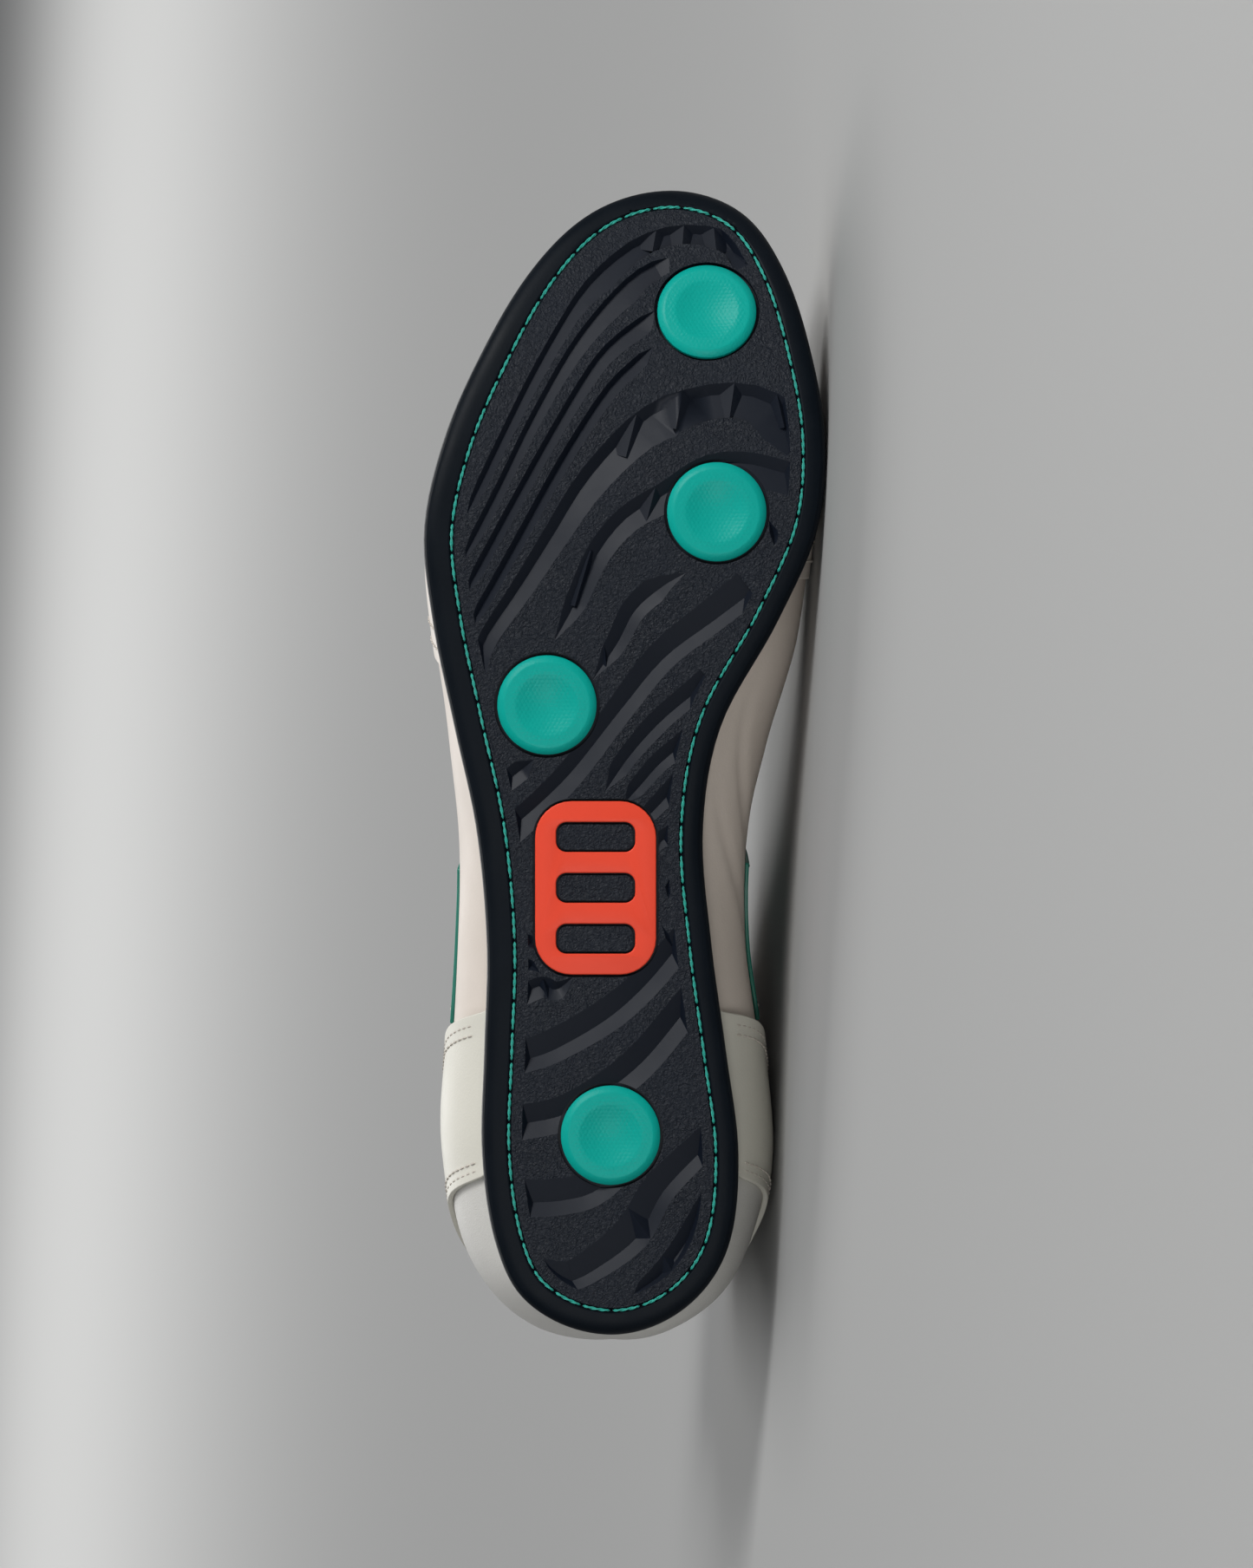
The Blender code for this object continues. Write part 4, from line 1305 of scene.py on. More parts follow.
WAVES: tuple[Groove, ...] = (
    Groove(((36, 203), (26.5, 223), (17.5, 241), (6.7, 259), (-4.5, 269.5), (-13.6, 273.4),
            (-21.6, 273.8), (-28.7, 272), (-35.1, 266.4)),
           (1.3, 1.5, 4.8), (1.5, 2.0, 5.0), 2.7, (6, 4)),
    Groove(((37.1, 191.4), (27.8, 209.5), (18.8, 228), (7.8, 247.2), (-4.5, 261.7),
            (-14.2, 267.7)),
           (1.3, 1.4, 1.4), (1.5, 1.9, 3.0), 1.6, (6, 2)),
    Groove(((36.7, 182.7), (24.8, 204.7), (12.9, 226.1), (4.7, 239.7), (-0.9, 246.4),
            (-10.8, 254.2)),
           (1.3, 1.4, 1.4), (1.5, 1.8, 2.4), 1.6, (6, 4)),
    Groove(((35.6, 174.3), (24.8, 193.5), (11.9, 216.8), (1.1, 233.7), (-6, 241.2), (-10.1, 244.9)),
           (1.3, 1.4, 1.4), (1.5, 1.8, 2.0), 1.6, (6, 4)),
    Groove(((33.9, 163.5), (31.3, 172.2), (22.7, 185.1), (14.5, 198.1), (6.5, 211),
            (-2.8, 221.9), (-8.6, 227.0), (-15.1, 230.7), (-28, 233.4), (-37.8, 231.9),
            (-44.2, 227.2)),
           (1.6, 3.1, 4.4), (2.4, 4.4, 5.6), 2.4),
    Groove(((-43.8, 213.4), (-33.4, 216), (-23.7, 215.1), (-14, 208.8), (-3.7, 202.4),
            (3.7, 193.1), (9.3, 180.8), (14, 172.2)),
           (3.8, 3.4, 2.4), (4.2, 3.8, 2.6), 2.0, (0, 9)),
    Groove(((-18.3, 188.8), (-12.7, 185.5), (-6, 179.7), (-1.5, 171.5), (4.5, 162.5)),
           (4.2, 3.4, 2.2), (3.2, 2.6, 2.0), 1.8, (9, 8)),
    Groove(((-25.2, 176.9), (-13.2, 167.9), (-3, 155.8), (9.5, 140), (17.9, 131.6), (24.2, 126.2)),
           (6.0, 3.6, 2.6), (2.8, 3.2, 4.8), 2.0, overrun=12.0),
    Groove(((-20.5, 159), (-12.3, 152.1), (-4.7, 143.7), (1.5, 134.8)),
           (3.6, 3.2, 2.4), (2.4, 2.4, 2.0), 1.7, (0, 6)),
    Groove(((-17.9, 146.5), (-11.9, 141.5), (-7.1, 136.1), (-3.2, 131.8)),
           (3.0, 2.8, 2.2), (3.0, 2.2, 1.8), 1.7, (0, 4)),
    Groove(((-15.7, 135.5), (-10.6, 130.1), (-6.7, 126.2)),
           (2.8, 2.6, 2.2), (2.6, 2.2, 1.8), 1.6, (0, 4)),
    Groove(((-14.7, 124.1), (-11.4, 121.5), (-8.8, 119.1)),
           (2.2, 2.2, 2.0), (2.2, 1.8, 1.4), 1.4, (0, 3)),
    Groove(((19.2, 142.6), (22.7, 139.8), (26.3, 137)),
           (2.6, 2.4, 1.8), (2.8, 2.8, 2.8), 1.6, (4, 0)),
    Groove(((21.8, 84.8), (17, 86.7), (13.6, 85.7), (9.3, 88.9)),
           (2.2, 2.4, 2.0), (3.0, 2.8, 2.2), 1.6, (0, 5)),
    Groove(((22, 68), (14, 70.8), (1.1, 78.3), (-8.6, 86.9), (-17.3, 97.3)),
           (5.2, 5.2, 3.8), (3.0, 3.4, 3.2), 2.1),
    Groove(((21.8, 52.4), (11.9, 54.6), (1.1, 60.6), (-8.6, 68.6), (-19, 81.3)),
           (4.8, 4.8, 4.6), (3.9, 4.0, 3.6), 2.1),
    Groove(((21.4, 32.8), (11.9, 33.4), (3.2, 36.2), (-6.5, 46), (-16.2, 58.5), (-21.1, 64.3)),
           (6.0, 5.2, 3.2), (3.6, 3.4, 2.8), 2.1),
    Groove(((17.9, 14.7), (10.8, 13.2), (3.2, 16.8), (-6.5, 24.4), (-12.9, 35.6), (-22.7, 46)),
           (4.2, 6.4, 4.4), (2.2, 3.0, 2.8), 2.1),
    Groove(((-23.5, 31.3), (-16.8, 20.5), (-10.1, 12.7), (-4.1, 7.1)),
           (3.2, 3.0, 2.4), (2.6, 2.8, 2.2), 1.8, (0, 6)),
    Groove(((-39.8, 253), (-41.2, 247.5), (-43, 241)),
           (0.8, 1.0, 0.8), (1.2, 1.5, 1.0), 1.4, (4, 4)),
    Groove(((-39, 202), (-40.4, 198), (-41.4, 194)),
           (0.8, 0.9, 0.8), (1.0, 1.2, 1.0), 1.2, (3, 3)),
    Groove(((-18.4, 86.5), (-18.8, 82), (-19.2, 77.5)),
           (1.0, 1.4, 1.6), (1.0, 1.4, 1.6), 1.8, (7, 1)),
    Groove(((-20.3, 69.8), (-20.8, 65.5), (-21, 61)),
           (1.0, 1.4, 1.6), (1.0, 1.4, 1.6), 1.8, (7, 1)),
    Groove(((-22.2, 52.6), (-22.5, 48), (-22.7, 44)),
           (1.0, 1.4, 1.6), (1.0, 1.4, 1.6), 1.8, (7, 1)),
    Groove(((-12.6, 101.5), (-14.6, 97.5), (-17, 93)),
           (1.0, 1.4, 1.6), (1.0, 1.4, 1.6), 1.8, (6, 1)),
    Groove(((-14.7, 114), (-14.5, 111), (-14, 108)),
           (1.0, 1.2, 1.0), (1.0, 1.2, 1.0), 1.3, (3, 3)),
    Groove(((22, 99.8), (20.4, 98), (18, 95)),
           (1.0, 1.2, 1.0), (1.0, 1.4, 1.0), 1.3, (2, 3)),
    Groove(((22, 93.6), (20, 91.8), (17.6, 89.8)),
           (1.0, 1.2, 1.0), (1.0, 1.4, 1.0), 1.3, (2, 3)),
)

FINS: tuple[Fin, ...] = (
    Fin((-11.4, 275.9), (-10.2, 269.3)),
    Fin((-18.2, 277.2), (-17.6, 270.0)),
    Fin((-25.4, 276.6), (-26.2, 268.9)),
    Fin((-31.6, 273.0), (-33.4, 266.4), 2.2, 1.8),
    Fin((-7.1, 231.6), (-3.6, 217.6)),
    Fin((-18.3, 236.8), (-16.0, 224.6)),
    Fin((-30.9, 238.4), (-29.2, 226.6)),
    Fin((-40.8, 234.6), (-42.9, 225.0), 2.0, 1.3),
    Fin((-11.6, 212.6), (-8.0, 199.0)),
    Fin((5.0, 194.4), (9.1, 180.6), 2.2, 1.3),
    Fin((1.8, 171.4), (1.0, 162.6), 2.0, 1.2),
    Fin((-3.6, 32.4), (-9.7, 24.0)),
    Fin((-12.2, 20.8), (-16.4, 13.6)),
    Fin((16.8, 88.0), (15.4, 82.6), 1.9, 1.2),
)


def seated(points: Array, seat: Matrix) -> Array:
    """Points moved into a seat."""
    return points @ np.array(seat.to_3x3()).T + np.array(seat.translation)


@dataclass
class GripDiscs:
    """The four teal discs let into the tread."""

    radius: float = 12.3 * MM
    thickness: float = 2.6 * MM
    pocket: float = 2.1 * MM
    pocket_gap: float = 0.8 * MM
    seat_gap: float = 0.3 * MM
    chamfer: float = 1.7 * MM
    dish: float = 1.35 * MM
    dish_radius: float = 7.9 * MM
    dot_pitch: float = 1.08 * MM
    dot_height: float = 0.13 * MM
    dot_shoulder: float = 0.35
    dot_margin: float = 0.6
    dots_end: float = 0.96
    dots_fade: float = 0.12
    dish_power: float = 1.2
    edge: float = 0.2 * MM
    sharp: float = 28.0
    above: float = 4 * MM
    steps: int = 96
    places: tuple[tuple[str, float, float], ...] = (
        ("grip_disc_toe", 0.892, -0.238),
        ("grip_disc_ball", 0.716, -0.262),
        ("grip_disc_outer", 0.548, 0.160),
        ("grip_disc_heel", 0.174, 0.002),
    )

    def seat(self, share: float, across: float) -> Matrix:
        """Where a disc sits on the tread, tilted with the toe spring.

        Args:
            share: Its place along the sole, as a share of the length.
            across: Its place across, as a share of the ball's width.

        Returns:
            The seat.
        """
        y = share * LAST.sole_length
        step = 1 * MM
        rise = float(LAST.tread_z(y + step) - LAST.tread_z(y - step))
        place = Vector((across * LAST.ball_width, y, float(LAST.tread_z(y))))
        return Matrix.Translation(place) @ Matrix.Rotation(math.atan2(rise, 2 * step), 4, "X")

    def turned(
        self, profile: list[tuple[float, float]], seat: Matrix
    ) -> tuple[Array, Faces]:
        """A closed turned solid in a seat, from a profile that starts and ends on the axis.

        Args:
            profile: Radii and heights.
            seat: Where it sits.

        Returns:
            Points and faces.
        """
        turn = full_turn(self.steps)
        points = [(0, 0, profile[0][1])]
        for radius, z in profile[1:-1]:
            points += [(radius * math.cos(a), radius * math.sin(a), z) for a in turn]
        points.append((0, 0, profile[-1][1]))
        rings, n, last = len(profile) - 2, self.steps, len(points) - 1
        faces = grid_faces(rings, n, True, 1)
        faces += [(0, 1 + i, 1 + (i + 1) % n) for i in range(n)]
        end = 1 + (rings - 1) * n
        faces += [(last, end + (i + 1) % n, end + i) for i in range(n)]
        return seated(np.array(points), seat), faces

    def pockets(self) -> list[tuple[Array, Faces]]:
        """The cutters of the discs' seats in the tread.

        Returns:
            Points and faces of each.
        """
        radius = self.radius + self.pocket_gap
        profile = [(0, self.pocket), (radius, self.pocket)]
        profile += [(radius, -self.above), (0, -self.above)]
        return [self.turned(profile, self.seat(a, b)) for _, a, b in self.places]

    def dotted_face(self, radius: float, level: float) -> tuple[Array, Faces]:
        """The dished face with its raised dots, inside a ring of the disc's steps.

        Args:
            radius: The ring's radius.
            level: The ring's height.

        Returns:
            Points, the ring's first, and triangles.
        """
        turn = full_turn(self.steps)
        ring = np.stack([np.cos(turn), np.sin(turn)], -1) * radius
        step = self.dot_pitch / 3
        reach = int(radius / step) + 2
        flat, heights = [*ring], [0.0] * self.steps
        for j in range(-reach, reach + 1):
            for i in range(-2 * reach, 2 * reach + 1):
                place = np.array([(i + j / 2) * step, j * step * math.sqrt(3) / 2])
                away = float(np.linalg.norm(place))
                if away > radius - self.dot_margin * step:
                    continue
                beside = {(i % 3, j % 3)} & {(1, 0), (2, 0), (0, 1), (0, 2), (1, 2), (2, 1)}
                shoulder = self.dot_shoulder if beside else 0.0
                dot = 1.0 if (i % 3, j % 3) == (0, 0) else shoulder
                inside = self.dots_end * radius - away
                fade = float(smooth_step(inside / (self.dots_fade * radius)))
                flat.append(place)
                heights.append(dot * fade * self.dot_height)
        plane = [Vector(p) for p in flat]
        points, _, triangles, *_ = delaunay_2d_cdt(plane, [], [], 0, 1e-9)
        if len(points) != len(flat):
            raise ValueError("the dotted face has doubled points")
        away = np.linalg.norm(np.array(flat), axis=1)
        bowl = np.clip(1 - (away / self.dish_radius) ** 2, 0, 1)
        hollow = self.dish * bowl**self.dish_power
        return np.column_stack([flat, level + hollow - np.array(heights)]), list(triangles)

    def build(self) -> None:
        """Builds the four discs."""
        top = self.pocket - self.seat_gap
        face = top - self.thickness
        rim = self.radius - self.chamfer
        land = rim - self.edge
        profile = [(0, top), (self.radius - self.edge, top), (self.radius, top - self.edge)]
        profile += [(self.radius, face + 1.15 * MM), (self.radius - 0.12 * MM, face + 0.95 * MM)]
        profile += [(rim + 0.15 * MM, face + 0.06 * MM), (land, face), (0, face)]
        cap, triangles = self.dotted_face(land, face)
        for name, along, across in self.places:
            seat = self.seat(along, across)
            points, faces = self.turned(profile, seat)
            points, faces = points[:-1], faces[: -self.steps]
            first = len(points) - self.steps
            numbers = [first + i for i in range(self.steps)]
            numbers += [len(points) + i for i in range(len(cap) - self.steps)]
            faces += [tuple(numbers[i] for i in triangle) for triangle in triangles]
            points = np.concatenate([points, seated(cap, seat)[self.steps :]])
            teal = [finish(FINISH.teal)]
            disc = mesh_object(name + "_rubber", points, faces, teal, sharp=self.sharp)
            shown(disc, "teal_rubber", name)


@dataclass
class ArchBadge:
    """The plain orange window frame let into the arch."""

    length: float = 43 * MM
    width: float = 30 * MM
    band: float = 5.2 * MM
    corner: float = 9 * MM
    window_corner: float = 2.6 * MM
    pocket: float = 1.5 * MM
    seat_gap: float = 0.3 * MM
    pocket_gap: float = 0.6 * MM
    proud: float = 0.4 * MM
    rounding: float = 0.35 * MM
    above: float = 3 * MM
    weld: float = 0.01 * MM
    corner_steps: int = 8
    place: tuple[float, float] = (0.389, 0.039)

    def loop(
        self, curve: bpy.types.Curve, shift: float, wide: float, tall: float, radius: float
    ) -> None:
        """Adds a rounded rectangle to a flat curve.

        Args:
            curve: The curve.
            shift: Its middle along the sole.
            wide: Its width.
            tall: Its length.
            radius: The radius of its corners.
        """
        steps = self.corner_steps
        spline = curve.splines.new("POLY")
        points = []
        for quarter, (sx, sy) in enumerate(((1, 1), (-1, 1), (-1, -1), (1, -1))):
            cx, cy = sx * (wide / 2 - radius), sy * (tall / 2 - radius) + shift
            for i in range(steps + 1):
                turn = math.pi / 2 * (quarter + i / steps)
                points.append((cx + radius * math.cos(turn), cy + radius * math.sin(turn)))
        spline.points.add(len(points) - 1)
        for target, (x, y) in zip(spline.points, points):
            target.co = (x, y, 0, 1)
        spline.use_cyclic_u = True

    def frame_mesh(
        self, name: str, grow: float, depth: float, low: float, rounding: float
    ) -> bpy.types.Object:
        """The frame as an object in the boot's frame, its seat side at a height.

        Args:
            name: The object's name.
            grow: How much larger it is on every side.
            depth: Its depth.
            low: The height of its seat side over the tread's face.
            rounding: The radius of its edges.

        Returns:
            The object.
        """
        curve = bpy.data.curves.new(name, "CURVE")
        curve.dimensions = "2D"
        curve.fill_mode = "BOTH"
        curve.extrude = depth / 2 - rounding
        curve.bevel_depth = rounding
        curve.bevel_resolution = 2
        curve.offset = -rounding
        self.loop(curve, 0, self.width + 2 * grow, self.length + 2 * grow, self.corner + grow)
        pitch = (self.length - self.band) / 3
        wide = self.width - 2 * self.band - 2 * grow
        for k in (-1, 0, 1):
            tall = pitch - self.band - 2 * grow
            self.loop(curve, k * pitch, wide, tall, self.window_corner - grow)
        flat = new_object(name, curve)
        bpy.context.view_layer.update()
        graph = bpy.context.evaluated_depsgraph_get()
        mesh = bpy.data.meshes.new_from_object(flat.evaluated_get(graph))
        bpy.data.objects.remove(flat)
        y = self.place[0] * LAST.sole_length
        x = self.place[1] * LAST.ball_width
        z = float(LAST.tread_z(y)) + low - depth / 2
        mesh.transform(Matrix.Translation((x, y, z)))
        with edited(mesh) as work:
            bmesh.ops.remove_doubles(work, verts=work.verts, dist=self.weld)
            bmesh.ops.recalc_face_normals(work, faces=work.faces)
        mesh.transform(LAY)
        return new_object(name, mesh)

    def seat(self) -> bpy.types.Object:
        """The cutter of the frame's seat in the tread.

        Returns:
            The object.
        """
        depth = self.pocket + self.above
        return self.frame_mesh("badge_seat", self.pocket_gap, depth, self.pocket, 0.0)

    def build(self) -> None:
        """Builds the frame."""
        low = self.pocket - self.seat_gap
        badge = self.frame_mesh("arch_badge_rubber", 0.0, low + self.proud, low, self.rounding)
        badge.data.materials.clear()
        badge.data.materials.append(finish(FINISH.orange))
        badge.data.shade_smooth()
        badge.data.set_sharp_from_angle(angle=math.radians(40))
        shown(badge, "orange_rubber", "arch_badge")


@dataclass
class Outsole:
    """The rubber cup sole: rim, lip, stitch groove and the waves of its tread."""

    stations: int = 112
    stitch_outer: float = 7.0 * MM
    stitch_inner: float = 5.4 * MM
    stitch_toe: float = 1.8 * MM
    groove_half: float = 0.62 * MM
    groove_depth: float = 0.9 * MM
    stitch_pitch: float = 7.5 * MM
    stitch_length: float = 6.9 * MM
    strand: float = 0.23 * MM
    strand_turns: float = 1.6
    strand_steps: int = 14
    strand_sides: int = 6
    stitch_depth: float = 0.28 * MM
    stitch_dive: float = 0.45 * MM
    rib_depth: float = 0.5 * MM
    tread_depth: float = 3 * MM
    rib_facing: float = 0.99
    crease_angle: float = 16.0
    strand_spread: float = 0.78
    strand_taper: float = 9.0
    strand_tip: float = 0.35
    rim_share: float = 0.9
    edge_marks: int = 720
    fine_marks: int = 4001
    toe_start: float = 0.72
    toe_reach: float = 0.28
    field_inset: float = 3.3 * MM
    field_toe: float = 1.6 * MM
    field_slope: float = 1.3 * MM
    field_above: float = 2 * MM
    field_below: float = 2.4 * MM

    def stitch_inset(self, s: Array) -> Array:
        """How far inside the outline the stitches run.

        Args:
            s: Places on the loop round the boot.

        Returns:
            The distances.
        """
        along, sign = LAST.place(s)
        middle = np.sin(math.pi * along)
        mean = (self.stitch_outer + self.stitch_inner) / 2
        toe = self.stitch_toe * smooth_step((along - self.toe_start) / self.toe_reach)
        return mean + sign * middle * (self.stitch_outer - self.stitch_inner) / 2 - toe

    def field(self) -> tuple[Array, Faces]:
        """The block that the grooves are kept to, with a sloping border all round.

        Returns:
            Points and faces.
        """
        count = 2 * self.stations
        s = round_boot(count)
        along, _ = LAST.place(s)
        toe = smooth_step((along - self.toe_start) / self.toe_reach)
        narrowing = toe * (self.field_inset - self.field_toe)
        border = self.stitch_inset(s) + self.field_inset - narrowing
        rings = []
        for depth in (-self.field_above, self.field_below):
            flat = LAST.inset(s, border + self.field_slope * depth / self.field_above)
            rings.append(np.column_stack([flat, LAST.tread_z(flat[:, 1]) + depth]))
        faces = grid_faces(2, count, True) + self.strips(0, count) + self.strips(count, count)
        return np.concatenate(rings), faces

    def strips(self, start: int, count: int) -> Faces:
        """Faces straight across a heel-to-toe loop, from its outer to its inner side.

        Args:
            start: The loop's first point.
            count: Points in the loop.

        Returns:
            The faces.
        """
        faces = []
        for i in range(count // 2):
            corners = (i, i + 1, (count - i - 1) % count, (count - i) % count)
            faces.append(tuple(dict.fromkeys(start + c for c in corners)))
        return faces

    def body(self) -> tuple[Array, Faces]:
        """The sole before its tread is cut, as points and faces.

        Returns:
            Points and faces.
        """
        count = 2 * self.stations
        s = round_boot(count)
        stitch = self.stitch_inset(s)
        top = LAST.sole_thickness + LAST.lip_height
        lip = LAST.lip_wall
        profile = [
            (stitch + self.groove_half, 0.0),
            (stitch + 0.6 * self.groove_half, 0.7 * self.groove_depth),
            (stitch, self.groove_depth),
            (stitch - 0.6 * self.groove_half, 0.7 * self.groove_depth),
            (stitch - self.groove_half, 0.12 * MM),
            (stitch - self.groove_half - 0.3 * MM, 0.02 * MM),
            (4.0 * MM, 0.0), (3.0 * MM, 0.08 * MM), (2.1 * MM, 0.26 * MM),
            (1.3 * MM, 0.6 * MM), (0.7 * MM, 1.1 * MM), (0.25 * MM, 1.8 * MM), (0, 2.7 * MM),
            (0, 4.6 * MM), (0.28 * MM, 4.75 * MM), (0.28 * MM, 5.15 * MM), (0, 5.3 * MM),
            (0, top - 0.9 * MM), (0.2 * MM, top - 0.35 * MM), (0.6 * MM, top - 0.06 * MM),
            (lip - 0.5 * MM, top - 0.02 * MM), (lip - 0.1 * MM, top - 0.35 * MM),
            (lip, top - 0.8 * MM), (lip, LAST.sole_thickness),
        ]
        rings = []
        for distance, height in profile:
            flat = LAST.inset(s, np.broadcast_to(distance, s.shape))
            rings.append(np.column_stack([flat, LAST.tread_z(flat[:, 1]) + height]))
        points = np.concatenate(rings)
        faces = grid_faces(len(profile), count, True)
        faces += self.strips(0, count) + self.strips((len(profile) - 1) * count, count)
        return points, faces

    def build(self, discs: GripDiscs, badge: ArchBadge) -> None:
        """Builds the sole and cuts its tread.

        Args:
            discs: The discs whose seats are cut.
            badge: The arch piece whose seat is cut.
        """
        sole = helper_mesh("outsole_rubber", *self.body())
        for kind in (FINISH.rim, FINISH.rib, FINISH.groove):
            sole.data.materials.append(finish(kind))
        waves = [helper_mesh(f"wave_{k}", *wave.cutter()) for k, wave in enumerate(WAVES)]
        for wave in waves:
            combine(wave, "INTERSECT", [helper_mesh("tread_field", *self.field())], True)
        combine(waves[0], "UNION", waves[1:])
        pockets = enumerate(discs.pockets())
        seats = [helper_mesh(f"disc_seat_{k}", *pocket) for k, pocket in pockets]
        combine(sole, "DIFFERENCE", [waves[0], *seats, badge.seat()])
        fins = [helper_mesh(f"fin_{k}", *fin.solid()) for k, fin in enumerate(FINS)]
        combine(sole, "UNION", fins)
        self.dress(sole)
        shown(sole, "sole_rubber", "outsole")

    def dress(self, sole: bpy.types.Object) -> None:
        """Gives rim, ribs and grooves their own finishes by where each face lies.

        Args:
            sole: The cut sole.
        """
        back = LAY.inverted()
        turn = back.to_3x3()
        s = round_boot(self.edge_marks)
        edge = LAST.inset(s, self.stitch_inset(s) + self.rim_share * self.groove_half)
        slots = []
        for polygon in sole.data.polygons:
            place = back @ polygon.center
            level = float(LAST.tread_z(place.y))
            nearest = int(np.argmin((edge[:, 0] - place.x) ** 2 + (edge[:, 1] - place.y) ** 2))
            outward = LAST.outward(s[nearest : nearest + 1])[0]
            inside = float(np.dot(edge[nearest] - (place.x, place.y), outward)) > 0
            slope = float(LAST.tread_z(place.y + MM) - LAST.tread_z(place.y - MM)) / (2 * MM)
            down = Vector((0, slope, -1)).normalized()
            facing = (turn @ polygon.normal).dot(down)
            on_top = place.z - level < self.rib_depth and facing > self.rib_facing
            # Faces in the grooves take the groove finish, whose slightly darker colour is painted
            # shade.
            if place.z - level > self.tread_depth or not inside:
                slots.append(0)
            else:
                slots.append(1 if on_top else 2)
        sole.data.polygons.foreach_set("material_index", slots)
        sole.data.shade_smooth()
        sole.data.set_sharp_from_angle(angle=math.radians(self.crease_angle))

    def stitches(self) -> None:
        """Lays the row of twisted teal stitches in its groove."""
        fine = np.linspace(0, 2, self.fine_marks)
        marks = lengths_along(LAST.inset(fine, self.stitch_inset(fine)))
        number = round(marks[-1] / self.stitch_pitch)
        pitch = marks[-1] / number
        t = np.linspace(0, 1, self.strand_steps + 1)
        ends = np.clip(np.minimum(t, 1 - t) * self.strand_taper, 0, 1) ** 0.5
        sizes = self.strand * (self.strand_tip + (1 - self.strand_tip) * ends)
        ring = full_turn(self.strand_sides)
        tube = tube_faces(self.strand_steps + 1, self.strand_sides)
        parts = Parts()
        for k in range(number):
            at = (k + 0.5) * pitch + (t - 0.5) * self.stitch_length
            s = np.interp(at % marks[-1], marks, fine)
            line = LAST.inset(s, self.stitch_inset(s))
            out = LAST.outward(s)
            level = LAST.tread_z(line[:, 1]) + self.stitch_depth + (1 - ends) * self.stitch_dive
            for strand in (0, 1):
                phase = 2 * math.pi * (self.strand_turns * t + strand / 2)
                reach = self.strand * self.strand_spread * ends
                across, up = np.cos(phase) * reach, np.sin(phase) * reach
                centre = np.column_stack([line + out * across[:, None], level + up])
                rings = []
                for c, o, size in zip(centre, out, sizes):
                    sideways = np.outer(np.cos(ring) * size, (*o, 0.0))
                    rings.append(c + sideways + np.outer(np.sin(ring) * size, (0.0, 0.0, 1.0)))
                parts.add(np.concatenate(rings), tube)
        thread = parts.build("sole_stitching", [FINISH.teal_thread], 60)
        shown(thread, "teal_rubber")


# Upper


@dataclass
class SeamRow:
    """A row of small stitches on the upper."""

    pitch: float = 2.6 * MM
    length: float = 1.9 * MM
    radius: float = 0.27 * MM
    sunk: float = 0.55
    flatness: float = 1.1
    tip: float = 0.06
    fullness: float = 0.45
    steps: int = 4
    sides: int = 5

    def run(self, seams: Parts, s: Array, share: Array, lift: float) -> None:
        """Adds stitches along marks of the wall.

        Args:
            seams: Where the stitches go.
            s: The places of the marks on the loop.
            share: Their shares of the wall's height.
            lift: How far off the wall the stitched surface is.
        """
        points, normals = WALL.sample(s, share)
        points = points + normals * lift
        marks = lengths_along(points)
        number = max(int(marks[-1] / self.pitch), 1)
        t = np.linspace(0, 1, self.steps + 1)
        ring = full_turn(self.sides)
        round_off = np.sin(math.pi * (self.tip + (1 - 2 * self.tip) * t)) ** self.fullness
        tube = tube_faces(self.steps + 1, self.sides)
        for k in range(number):
            at = (k + 0.5) * marks[-1] / number + (t - 0.5) * self.length
            line = read_along(at, marks, points)
            up = unit(read_along(at, marks, normals))
            side = unit(np.cross(unit(np.gradient(line, axis=0)), up))
            rings = []
            for c, u, w, size in zip(line, up, side, self.radius * round_off):
                centre = c + u * (size * self.sunk)
                sideways = np.outer(np.cos(ring) * size * self.flatness, w)
                rings.append(centre + sideways + np.outer(np.sin(ring) * size, u))
            seams.add(np.concatenate(rings), tube)


